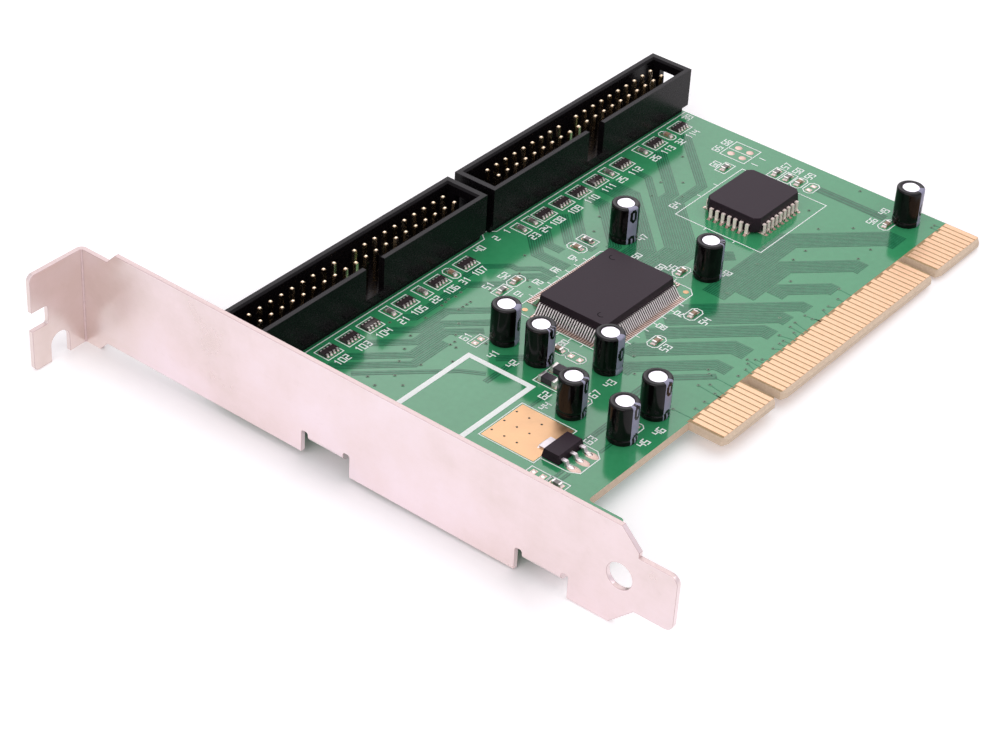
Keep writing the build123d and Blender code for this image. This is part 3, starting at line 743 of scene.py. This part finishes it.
BESIDE_CANS = (
    (-8.7, 40.0), (-8.7, 36.1), (-2.3, 21.2), (-14.2, 25.1), (-11.4, 7.8), (-7.3, 7.8), (36.2, 42.8),
    (36.8, 25.5), (72.8, 16.2),
)
BESIDE_LOOSE_PARTS = (
    (6.2, 53.1), (10.4, 53.1), (11.9, 20.3), (22.6, 20.0), (31.9, 33.5), (68.6, 16.1), (73.8, 37.7),
    (73.8, 35.2), (73.8, 32.6), (65.4, 47.7), (-7.9, 46.4), (-11.9, 26.9), (-16.4, 14.4), (48.8, 44.9),
    (70.2, 50.6), (73.2, 50.6), (-6.2, 21.2),
)


def in_row(places):
    """Places in the row beside the headers, from their X alone."""
    return [(x, ROW_Y) for x in places]


def frame_line(ink, low, high, cut):
    """A rectangle drawn in ink, with its corners cut where a cut is given."""
    left, front = low
    right, back = high
    outline = rectangle(low, high)
    if cut:
        outline = [(left + cut, front), (right - cut, front), (right, front + cut), (right, back - cut)]
        outline += [(right - cut, back), (left + cut, back), (left, back - cut), (left, front + cut)]
    ink.ribbon(outline, FINE_LINE, SUNK, PRINT_TOP, True)


def ink_lines():
    """The open lines of the legend, each with its width."""
    lines = [(HEADER_LINE, 0.18), (BRACKET_SIDE_LINE, 1.0), (REGULATOR_LINE, FINE_LINE)]
    lines.append((((72.8, 44.6), (72.8, 50.0)), FINE_LINE))
    lines += [(((x, 42.3), (x, 43.7)), 0.2) for x in (71.1, 73.7)]
    for x in [FLAT_CHIP[0] - 10.0 + 2.5 * step for step in range(1, 8)]:
        lines += [(((x, y), (x, y + 0.8)), FINE_LINE) for y in (46.4, 25.9)]
    for y in [FLAT_CHIP[1] - 5.0 + 2.5 * step for step in range(5)]:
        lines += [(((x, y), (x + 0.8, y)), FINE_LINE) for x in (3.5, 29.9)]
    lines += [(((x, 43.9), (x, 44.7)), FINE_LINE) for x in (55.36, 60.44)]
    lines += [(((46.6, y), (47.3, y)), FINE_LINE) for y in (31.0, 37.2)]
    return lines


def legend():
    """Outlines round the parts and small plain numerals, with no words or marks."""
    ink = Drawing()
    for points, width in ink_lines():
        ink.ribbon(points, width, SUNK, PRINT_TOP)
    for low, high, cut in OUTLINES:
        frame_line(ink, low, high, cut)
    repeated = (
        (in_row(ARRAY_X), (-1.85, -1.6), (1.85, 1.55), 0),
        (in_row(ROW_RESISTOR_X), (-1.0, -1.7), (1.0, 1.7), 0),
        (in_row(ROW_CAPACITOR_X), (-1.0, -1.7), (1.0, 1.7), 0.55),
        (RESISTORS_ALONG_X, (-1.8, -1.05), (1.8, 1.05), 0),
        (RESISTORS_ALONG_Y, (-1.05, -1.8), (1.05, 1.8), 0),
        (CAPACITORS_ALONG_X + HIDDEN_SPOTS, (-1.85, -1.1), (1.85, 1.1), 0.6),
        (CAPACITORS_ALONG_Y, (-1.1, -1.85), (1.1, 1.85), 0.6),
        (BEADS, (-1.25, -2.5), (1.25, 2.3), 0),
    )
    for places, low, high, cut in repeated:
        for x, y in places:
            frame_line(ink, (x + low[0], y + low[1]), (x + high[0], y + high[1]), cut)
    numerals(ink)
    piece("legend_print", "board_laminate", ink, ink_material)


def numerals(ink):
    """Plain numbers beside the parts, counted along the board."""
    for first, places in ((101, ARRAY_X), (21, ROW_RESISTOR_X), (31, ROW_CAPACITOR_X)):
        for number, x in enumerate(places, first):
            half = NUMERAL_HALF_STEP * NUMERAL_HEIGHT * len(str(number))
            ink.digits(number, (x - half, NUMERAL_ROW_Y))
    for first, places in ((41, BESIDE_CANS), (51, BESIDE_LOOSE_PARTS)):
        for number, place in enumerate(places, first):
            ink.digits(number, place)
    for number, place in ((1, (22.2, 61.4)), (2, (19.2, 61.4)), (40, (14.0, 61.4)), (39, (75.6, 61.2))):
        ink.digits(number, place)
    for number, place in ((50, (31.0, 40.2)), (60, (31.0, 35.2)), (90, (1.7, 33.7))):
        ink.digits(number, place, SMALL_NUMERAL)
    above = [(number, (number / 2 + 4.3, 47.6)) for number in (10, 20, 30, 40)]
    for number, place in above + [(70, (23.0, 24.3)), (80, (17.9, 24.3))]:
        ink.digits(number, place, SMALL_NUMERAL, upward=True)


# Metal on the board's face: pads, solder and end caps

CAP_THICK = 0.03
END_LENGTH = 0.32
BEAD_END_LENGTH = 0.5
POUR_TOP = 0.035
DOME = ((1.0, 0.0), (0.96, 0.3), (0.82, 0.62), (0.58, 0.85), (0.3, 0.97))
DOME_SIDES = 16


def oriented(centre, along, u, v):
    """A point u along and v across a part that lies along X or Y."""
    return (centre[0] + u, centre[1] + v) if along == "x" else (centre[0] - v, centre[1] + u)


def local_box(drawing, centre, along, u_range, half, z_range):
    """A block given along a part and by its half width."""
    spots = [oriented(centre, along, u, v) for u, v in zip(u_range, (-half, half))]
    (low_x, high_x), (low_y, high_y) = [sorted(values) for values in zip(*spots)]
    drawing.box((low_x, low_y, z_range[0]), (high_x, high_y, z_range[1]))


def solder_wedge(drawing, centre, along, u, direction, half, reach, height):
    """A hollow-curved fillet of solder, from a pad up a metal end."""
    curve = []
    for share in (0.0, 0.2, 0.4, 0.6, 0.8, 1.0):
        curve.append((u + direction * reach * (1 - share), max(height * share ** 2.2, PAD_TOP * 0.6)))
    behind = u - direction * 0.02
    curve += [(behind, height), (behind, 0.0), (u + direction * reach, 0.0)]
    points = [(*oriented(centre, along, p, v), z) for v in (-half, half) for p, z in curve]
    count = len(curve)
    faces = [list(range(count)), list(range(count, 2 * count))[::-1]]
    faces += [[i, count + i, count + (i + 1) % count, (i + 1) % count] for i in range(count)]
    drawing.add(points, faces)


def soldered_end(ends, solder, pads, centre, along, direction, half_length, height, cap, pad, fillet):
    """One metal end of a small part, with its pad and its solder.

    The cap and the pad are given by how far they reach in and out from the part's end and by their
    half width, and the fillet by its half width, its reach and its share of the height."""
    layers = ((ends, cap, (0.0, height + CAP_THICK)), (pads, pad, (SUNK, PAD_TOP)))
    for drawing, (inward, outward, half), heights in layers:
        span = sorted((direction * (half_length - inward), direction * (half_length + outward)))
        local_box(drawing, centre, along, span, half, heights)
    half, reach, share = fillet
    tip = direction * (half_length + CAP_THICK)
    solder_wedge(solder, centre, along, tip, direction, half, reach, height * share)


def two_ended(drawings, centre, along, size, end_length):
    """Both metal ends of a small part, with its pads and solder."""
    length, width, height = size
    half = width / 2 + CAP_THICK
    cap = (end_length, CAP_THICK, half)
    pad = (end_length + 0.1, 0.45, half + 0.06)
    fillet = (half * 0.9, 0.36, 0.62)
    for direction in (-1, 1):
        soldered_end(*drawings, centre, along, direction, length / 2, height, cap, pad, fillet)


def array_ends(drawings, x):
    """The four metal ends on both long sides of a resistor array."""
    width, height = ARRAY_SIZE[1:]
    cap = (0.26, CAP_THICK, 0.21)
    pad = (0.3, 0.42, 0.24)
    fillet = (0.19, 0.34, 0.6)
    for step in ARRAY_STEPS:
        centre = (x + step, ROW_Y)
        for direction in (-1, 1):
            soldered_end(*drawings, centre, "y", direction, width / 2, height, cap, pad, fillet)


def side_patch(drawing, centre, turn, across, reach, half, top):
    """A rectangle in front of a chip, carried round to one of its four sides."""
    spots = []
    for x, y in rectangle((across - half, -reach[1]), (across + half, -reach[0])):
        for _ in range(turn):
            x, y = -y, x
        spots.append((centre[0] + x, centre[1] + y))
    drawing.slab(spots, SUNK, top)


def lead_patches(centre, body, counts, pitch, *patches):
    """The same patches at every lead of a chip, each with its reach, half width and top."""
    for turn in range(4):
        count = counts[turn % 2]
        edge = body[1 - turn % 2] / 2
        for index in range(count):
            across = (index - (count - 1) / 2) * pitch
            for drawing, (near, far), half, top in patches:
                side_patch(drawing, centre, turn, across, (edge + near, edge + far), half, top)


def chip_pads(pads, solder):
    """A pad and some solder at each chip lead, with laminate left free of mask round the flat chip."""
    bare = Drawing()
    for turn in range(4):
        edge = FLAT_BODY[1 - turn % 2] / 2
        half = FLAT_COUNTS[turn % 2] * FLAT_PITCH / 2
        side_patch(bare, FLAT_CHIP, turn, 0.0, (edge + 0.35, edge + 2.68), half, CLEARING_TOP)
    piece("bare_strips", "board_laminate", bare, bare_material)
    lead_patches(
        FLAT_CHIP, FLAT_BODY, FLAT_COUNTS, FLAT_PITCH,
        (pads, (0.5, 2.62), 0.14, PAD_TOP), (solder, (1.25, 1.8), 0.12, 0.12)
    )
    lead_patches(
        SQUARE_CHIP, SQUARE_BODY, SQUARE_COUNTS, SQUARE_PITCH,
        (pads, (-0.7, 1.15), 0.34, PAD_TOP), (solder, (0.45, 0.78), 0.27, 0.3)
    )


def domed_blob(drawing, centre, radii, height):
    """A low mound of solder on an oval pad."""
    rings = []
    for share, up in DOME:
        spots = oval(centre, (radii[0] * share, radii[1] * share), DOME_SIDES)
        rings.append([(x, y, up * height) for x, y in spots])
    drawing.peak(rings, (*centre, height))


def small_parts():
    """Pads, solder and metal ends of every part that is soldered to the face."""
    ends = Drawing()
    solder = Drawing()
    pads = Drawing()
    drawings = (ends, solder, pads)
    for x in ARRAY_X:
        array_ends(drawings, x)
    upright = in_row(ROW_RESISTOR_X + ROW_CAPACITOR_X)
    for place in (*upright, *RESISTORS_ALONG_Y, *CAPACITORS_ALONG_Y):
        two_ended(drawings, place, "y", CHIP_SIZE, END_LENGTH)
    for place in RESISTORS_ALONG_X + CAPACITORS_ALONG_X:
        two_ended(drawings, place, "x", CHIP_SIZE, END_LENGTH)
    for place in BEADS:
        two_ended(drawings, place, "y", BEAD_SIZE, BEAD_END_LENGTH)
    chip_pads(pads, solder)
    for step in (-1, 0, 1):
        x = REGULATOR[0] + step * REGULATOR_LEAD_PITCH
        domed_blob(pads, (x, 12.6), (0.78, 1.4), 0.07)
        domed_blob(solder, (x, 13.2), (0.5, 0.8), 0.3)
    domed_blob(solder, (REGULATOR[0], 20.0), (1.9, 0.4), 0.16)
    hidden = [(x + side, y) for x, y in HIDDEN_SPOTS for side in (-0.85, 0.85)]
    along_x = ((-7.3, 44.95), (-5.75, 44.95), (70.6, 30.85), (72.2, 30.85))
    along_y = ((0.5, 29.3), (0.5, 31.1), (-27.7, 14.9), (-27.7, 16.7))
    empty_pads = (
        (along_x, (0.95, 1.05), (0.42, 0.46), 0.12),
        (hidden, (0.95, 1.05), (0.42, 0.46), 0.2),
        (along_y, (1.05, 0.95), (0.46, 0.42), 0.12),
    )
    for places, size, radii, height in empty_pads:
        for place in places:
            pads.patch(place, size)
            domed_blob(solder, place, radii, height)
    for place in ((71.5, 46.0), (71.5, 48.5), (74.0, 46.0), (74.0, 48.5)):
        domed_blob(pads, place, (0.72, 0.72), 0.06)
    piece("metal_ends", "tinned_leads", ends, tin_material, bevel=0.03)
    piece("soldered_pads", "tinned_leads", pads, pad_material)
    piece("solder_fillets", "tinned_leads", solder, solder_material, smooth=True)


def gilded_spots():
    """The regulator's bare gilded copper with its nine holes, and the two round targets."""
    gilded = Drawing()
    gilded.box((-25.75, 18.35, SUNK), (-15.25, 28.75, POUR_TOP))
    for place in ((5.8, 44.9), (28.5, 28.1)):
        gilded.disc(place, 0.5, SUNK, PAD_TOP)
    piece("gilded_copper", "gold_plating", gilded, gilded_pad_material)
    dots = Drawing()
    for x in (-23.7, -20.55, -17.4):
        for y in (28.2, 25.7, 23.2):
            dots.disc((x, y), 0.2, SUNK, PAD_TOP, 14)
    piece("heat_holes", "board_laminate", dots, via_hole_material)


# Painted shade in the two round mould dimples on the flat chip

DIMPLE_SPOTS = ((-7.55, -4.45), (7.55, 4.45))
DIMPLE_SHADE_RADII = (0.75, 0.59)
DIMPLE_SHADE_START = 50.0
DIMPLE_SHADE_SWEEP = 190.0


def mould_marks():
    """Painted shade on one side of two shallow ejector dimples: dark arcs on the chip's top."""
    marks = Drawing()
    top = card_box("controller_chip")[1].z
    for x, y in DIMPLE_SPOTS:
        spot = (FLAT_CHIP[0] + x, FLAT_CHIP[1] + y)
        # painted shade: a dark arc on one side of each dimple
        marks.ring(spot, DIMPLE_SHADE_RADII, top + SUNK, top + CLEARING_TOP, 24, DIMPLE_SHADE_START, DIMPLE_SHADE_SWEEP)
    piece("mould_marks", "chip_moulding", marks, dimple_shade_material)


# Capacitors

STRIPE_MIDDLES = (-76.0, -89.0, -89.0, -83.0, -88.0, -91.0, -108.0, -66.0, -79.0)
STRIPE_SPREAD = 22.0
MARK_HEIGHTS = (3.9, 1.4, 3.9, 0.9, 0.8, 0.7, 0.5, 2.6, 3.4)
MARK_PITCH = 5.2
MARK_HALF = (18.0, 1.3)
MARK_HOLE = (5.0, 0.72)
CAN_SIDES = 90
RIM_RADIUS = 0.32
TOP_RADIUS = 1.5
SIDE_FROM = 1.44
SIDE_STEP = 0.17


def can_profile():
    """Half section of a sleeved can, from the axis at the bottom to the axis at the top."""
    profile = [(0.0, 0.05), (2.1, 0.05), (2.3, 0.0), (2.42, 0.05)]
    crimp = ((0.0, 0.22), (0.0, 0.6), (0.0, 0.8), (0.08, 1.0), (0.1, 1.12), (0.08, 1.26))
    profile += [(CAN_RADIUS - depth, z) for depth, z in crimp]
    z = SIDE_FROM
    while z < CAN_HEIGHT - RIM_RADIUS - SIDE_STEP / 2:
        profile.append((CAN_RADIUS, z))
        z += SIDE_STEP
    for step in range(7):
        angle = math.radians(90 * step / 6)
        radius = CAN_RADIUS - RIM_RADIUS * (1 - math.cos(angle))
        profile.append((radius, CAN_HEIGHT - RIM_RADIUS * (1 - math.sin(angle))))
    sunk_top = ((TOP_RADIUS + 0.1, 0.0), (TOP_RADIUS, 0.05), (TOP_RADIUS - 0.04, 0.14))
    sunk_top += ((TOP_RADIUS - 0.3, 0.15), (0.0, 0.12))
    return profile + [(radius, CAN_HEIGHT - depth) for radius, depth in sunk_top]


def can_faces(profile, stripe_middle, mark_height):
    """Which finish each face of a can has: sleeve, stripe or bare top."""
    bare_from = next(i for i, (radius, z) in enumerate(profile) if z > CAN_HEIGHT / 2 and radius < TOP_RADIUS)

    def kind(step, index):
        if step >= bare_from - 1:
            return 2
        z = (profile[step][1] + profile[step + 1][1]) / 2
        turn = (index + 0.5) * 360.0 / CAN_SIDES
        off = (turn - stripe_middle + 180) % 360 - 180
        below = z < 0.12 and profile[step + 1][0] < CAN_RADIUS
        if below or abs(off) > STRIPE_SPREAD:
            return 0
        for mark in (mark_height, mark_height + MARK_PITCH, mark_height - MARK_PITCH):
            outer = math.hypot(off / MARK_HALF[0], (z - mark) / MARK_HALF[1])
            inner = math.hypot(off / MARK_HOLE[0], (z - mark) / MARK_HOLE[1])
            if outer < 1 < inner:
                return 0
        return 1

    return kind


def capacitors():
    """Nine sleeved cans with a pale stripe that carries long marks, and a bare top."""
    profile = can_profile()
    finishes = (black_sleeve_material, stripe_material, can_top_material)
    for index, node in enumerate(CAN_NODES):
        can = Drawing()
        kind = can_faces(profile, STRIPE_MIDDLES[index], MARK_HEIGHTS[index])
        can.turned(CAN_PLACES[index], profile, CAN_SIDES, kind)
        piece("can_%d" % (index + 1), "capacitor_sleeve", can, *finishes, smooth=True, replaced=node)


# Header pins

PIN_HALF = 0.32


def pin_places(centre_x):
    """The pins of one header, without the one left out."""
    places = []
    for row in (-0.5, 0.5):
        for index in range(HEADER_WAYS):
            if row < 0 or index != MISSING_PIN:
                x = centre_x + (index - (HEADER_WAYS - 1) / 2) * PIN_PITCH
                places.append((x, HEADER_Y + row * PIN_PITCH))
    return places


def header_pins():
    """The pins with blunt, rounded tips, as they are sheared and coined."""
    for name, centre_x in zip(HEADERS, HEADER_X):
        low, high = card_box(name + "_pins")
        sections = (
            (0.2, low.z), (PIN_HALF, low.z + 0.25), (PIN_HALF, high.z - 0.36), (0.26, high.z - 0.15),
            (0.17, high.z - 0.03),
        )
        pins = Drawing()
        for x, y in pin_places(centre_x):
            rings = []
            for half, z in sections:
                corners = rectangle((x - half, y - half), (x + half, y + half))
                rings.append([(*corner, z) for corner in corners])
            pins.peak(rings, (x, y, high.z))
        piece(name + "_pin_set", "pin_plating", pins, pin_material, smooth=True, replaced=name + "_pins")


# Solder side

CONE_SIDES = 14
UNDER_TRACE_WIDTH = 0.24
UNDER_BUNDLES = (
    (((-24.0, 64.0), (-24.0, 58.0), (-12.0, 46.0), (2.0, 46.0)), 7, 0.6),
    (((-4.0, 64.0), (-4.0, 56.0), (4.0, 48.0)), 6, 0.6),
    (((12.0, 64.0), (12.0, 50.0)), 6, 0.6),
    (((36.0, 64.0), (36.0, 57.0), (26.0, 47.0)), 7, 0.6),
    (((56.0, 64.0), (56.0, 58.0), (40.0, 42.0), (32.0, 42.0)), 7, 0.6),
    (((14.0, 26.0), (14.0, 20.0), (8.0, 14.0), (8.0, 8.6)), 6, 0.6),
    (((24.0, 26.0), (36.0, 14.0), (36.0, 8.6)), 8, 0.6),
    (((50.0, 30.0), (50.0, 24.0), (60.0, 14.0), (60.0, 8.6)), 8, 0.6),
)


def cone_profile(foot, tip, height):
    """Half section of a solder joint that climbs a lead below the board."""
    rim = BOARD_BOTTOM - 0.05
    profile = [(0.0, BOARD_BOTTOM - SUNK), (foot, BOARD_BOTTOM - SUNK), (foot, rim)]
    for share in (0.25, 0.5, 0.75, 1.0):
        profile.append((tip + (foot - tip) * (1 - share) ** 2, rim - (height - 0.05) * share))
    profile.append((0.0, BOARD_BOTTOM - height - 0.06))
    return profile


def solder_side():
    """Cones of solder round the pins and capacitor leads, and the traces between them."""
    joints = Drawing()
    for centre_x in HEADER_X:
        for place in pin_places(centre_x):
            joints.turned(place, cone_profile(0.85, 0.42, 1.15), CONE_SIDES)
    for x, y in CAN_PLACES:
        for side in (-1, 1):
            joints.turned((x + side, y), cone_profile(0.75, 0.25, 0.9), CONE_SIDES)
    piece("solder_cones", "tinned_leads", joints, solder_material, smooth=True)
    below = Drawing()
    cleared = Drawing()
    top = BOARD_BOTTOM - SUNK
    heights = ((BOARD_BOTTOM - TRACE_TOP, top), (BOARD_BOTTOM - CLEARING_TOP, top))
    for course in UNDER_BUNDLES:
        bundle(below, cleared, course, UNDER_TRACE_WIDTH, *heights)
    piece("under_traces", "board_laminate", below, trace_material)
    piece("under_strips", "board_laminate", cleared, clearing_material)


# Finishes of the solids that stay, and closer meshes in the place of some others

def dress_nodes():
    """Gives every node its finish, or a softened mesh in its place."""
    finishes = {
        "circuit_board": board_material,
        "contact_fingers": gold_material,
        "bracket_screws": screw_material,
        "controller_chip_leads": tin_material,
        "firmware_chip_leads": folded_lead_material,
        "regulator_leads": tab_material,
        "chip_resistors": chip_resistor_material,
        "chip_capacitors": ceramic_material,
        "ferrite_beads": bead_material,
    }
    finishes.update({node: resistor_material for node in ARRAY_NODES})
    for node, material in finishes.items():
        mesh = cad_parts[node].data
        mesh.materials.clear()
        mesh.materials.append(material)
    sheet = (steel_material, crease_material, sheared_material)
    softened("mounting_bracket", "slot_bracket", "bracket_steel", 0.06, *sheet)
    for name in HEADERS:
        softened(name + "_shell", name + "_shroud", "header_moulding", 0.09, header_material)
    softened("controller_chip", "controller_body", "chip_moulding", 0.06, chip_material)
    softened("firmware_chip", "firmware_body", "chip_moulding", 0.09, chip_material)
    softened("voltage_regulator", "regulator_body", "chip_moulding", 0.06, chip_material)


# Studio: a floor under the card as it leans on its bracket, soft lights and the camera

FLOOR_POINTS = ((-50.0, 99.0, -7.0), (-43.0, -10.0, -4.95), (76.5, 70.0, -3.15))
FLOOR_HALF = 3.0
# A painted shadow on the floor along the bracket's foot: its middle, and how far from it in metres, across
# and along, the camera glow fades back in
PAINTED_SHADOW_MIDDLE = (-40.0, 52.0)
PAINTED_SHADOW_FADES = ((0.004, 0.011), (0.045, 0.055))
SHADOW_LIFT = 0.25
MIRRORED_GLOW = 0.31
WORLD_LIGHTING = 0.5
WORLD_SEEN = 1.0
LIT_MIDDLE = (15, 35, 0)
REAR_DIRECTION = (0.6853, 0.4626, 0.5624)
REAR_DISTANCE = 0.9
REAR_FACING = (0.60, 0.53, 0.60)
FRONT_DIRECTION = (-0.85, -0.12, 0.5)
TOP_DIRECTION = (0.1, -0.15, 0.95)
CAMERA_PLACE = (-284.96, -167.46, 246.17)
CAMERA_TURN = (54.1296, -2.8259, -51.2631)
CAMERA_LENS = 94.26
SENSOR = 36.0


def white_floor_material():
    """A white sweep that keeps the card's soft shadow, with a painted shadow along the foot of the bracket,
    where its camera glow fades out.
    """
    shader = Shader("floor_white", Roughness=0.9, Specular_IOR_Level=0.1, Emission_Color=(1, 0.97, 1, 1))
    tone = shader.noise(3, 2)
    shader.feed("Base Color", shader.ramp(tone, (0.3, (0.90, 0.905, 0.90)), (0.7, (0.92, 0.925, 0.92))))
    where = shader.parts(shader.place)
    painted_shadow_edges = []
    for axis, painted_shadow_centre, (start, end) in zip("XY", at(*PAINTED_SHADOW_MIDDLE), PAINTED_SHADOW_FADES):
        off = shader.maths("ABSOLUTE", shader.maths("SUBTRACT", where[axis], painted_shadow_centre))
        painted_shadow_edges.append(shader.greys(off, 0, 1, start, end))
    # painted shadow: the floor's camera glow is taken away near the bracket's foot
    glow_outside_painted_shadow = shader.greys(shader.maths("MAXIMUM", *painted_shadow_edges), 0.0, SHADOW_LIFT, 0, 1)
    rays = shader.node("ShaderNodeLightPath").outputs
    camera_part = shader.maths("MULTIPLY", rays["Is Camera Ray"], glow_outside_painted_shadow)
    glossy_part = shader.maths("MULTIPLY", rays["Is Glossy Ray"], MIRRORED_GLOW)
    shader.feed("Emission Strength", shader.maths("ADD", camera_part, glossy_part))
    return shader.material


def floor():
    """A plane through the three lowest points that the card stands on."""
    first, second, third = [at(*p) for p in FLOOR_POINTS]
    normal = (second - first).cross(third - first).normalized()
    if normal.z < 0:
        normal = -normal
    across = (Vector((1, 0, 0)) - normal * normal.x).normalized()
    along = normal.cross(across)
    square = rectangle((-FLOOR_HALF, -FLOOR_HALF), (FLOOR_HALF, FLOOR_HALF))
    mesh = bpy.data.meshes.new("floor")
    mesh.from_pydata([first + across * u + along * v for u, v in square], [], [[0, 1, 2, 3]])
    mesh.materials.append(white_floor_material())
    plane = link_object("floor", mesh)
    plane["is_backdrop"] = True


def soft_light(name, place, target, size, power, colour=(1, 1, 1), spread=180.0):
    """A large rectangular lamp, aimed at a point."""
    lamp = bpy.data.lights.new(name, "AREA")
    lamp.shape = "RECTANGLE"
    lamp.size, lamp.size_y = size
    lamp.energy = power
    lamp.color = colour
    lamp.spread = math.radians(spread)
    holder = link_object(name, lamp)
    holder.location = place
    holder.rotation_euler = (target - place).to_track_quat("-Z", "Y").to_euler()


def studio():
    """A white room, a rear panel that the board mirrors, and two soft lamps."""
    world = bpy.data.worlds.new("studio")
    bpy.context.scene.world = world
    world.use_nodes = True
    tree = world.node_tree
    background = tree.nodes["Background"]
    background.inputs["Color"].default_value = (0.98, 0.93, 1.0, 1)
    rays = add_node(tree, "ShaderNodeLightPath").outputs
    seen_by = {0: rays["Is Camera Ray"], 1: rays["Is Glossy Ray"]}
    seen = add_node(tree, "ShaderNodeMath", seen_by, operation="MAXIMUM").outputs[0]
    strength = add_node(tree, "ShaderNodeMix", {0: seen, 2: WORLD_LIGHTING, 3: WORLD_SEEN})
    tree.links.new(strength.outputs[0], background.inputs["Strength"])
    centre = at(*LIT_MIDDLE)
    rear = centre + Vector(REAR_DIRECTION) * REAR_DISTANCE
    front = centre + Vector(FRONT_DIRECTION)
    soft_light("rear_panel", rear, rear - Vector(REAR_FACING), (0.62, 0.5), 0.1, (1.0, 0.97, 1.0), 40.0)
    soft_light("front_panel", front, centre, (0.9, 0.7), 3.6, (1.0, 0.97, 0.97))
    soft_light("top_panel", centre + Vector(TOP_DIRECTION), centre, (1.3, 1.3), 4.4)


def camera():
    """The camera that took the card's portrait, worked out from the two pin grids."""
    lens = bpy.data.cameras.new("camera")
    lens.lens = CAMERA_LENS
    lens.sensor_width = SENSOR
    lens.clip_start = 0.01
    lens.clip_end = 20.0
    holder = link_object("camera", lens)
    holder.location = at(*CAMERA_PLACE)
    holder.rotation_euler = Euler([math.radians(a) for a in CAMERA_TURN], "XYZ")
    bpy.context.scene.camera = holder


dress_nodes()
copper()
legend()
small_parts()
gilded_spots()
mould_marks()
capacitors()
header_pins()
solder_side()
floor()
studio()
camera()
bpy.context.scene.view_settings.view_transform = "Standard"

boxes = {"cad": cad_box, "visual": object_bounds()}
{name: [list(corner) for corner in box] for name, box in boxes.items()}
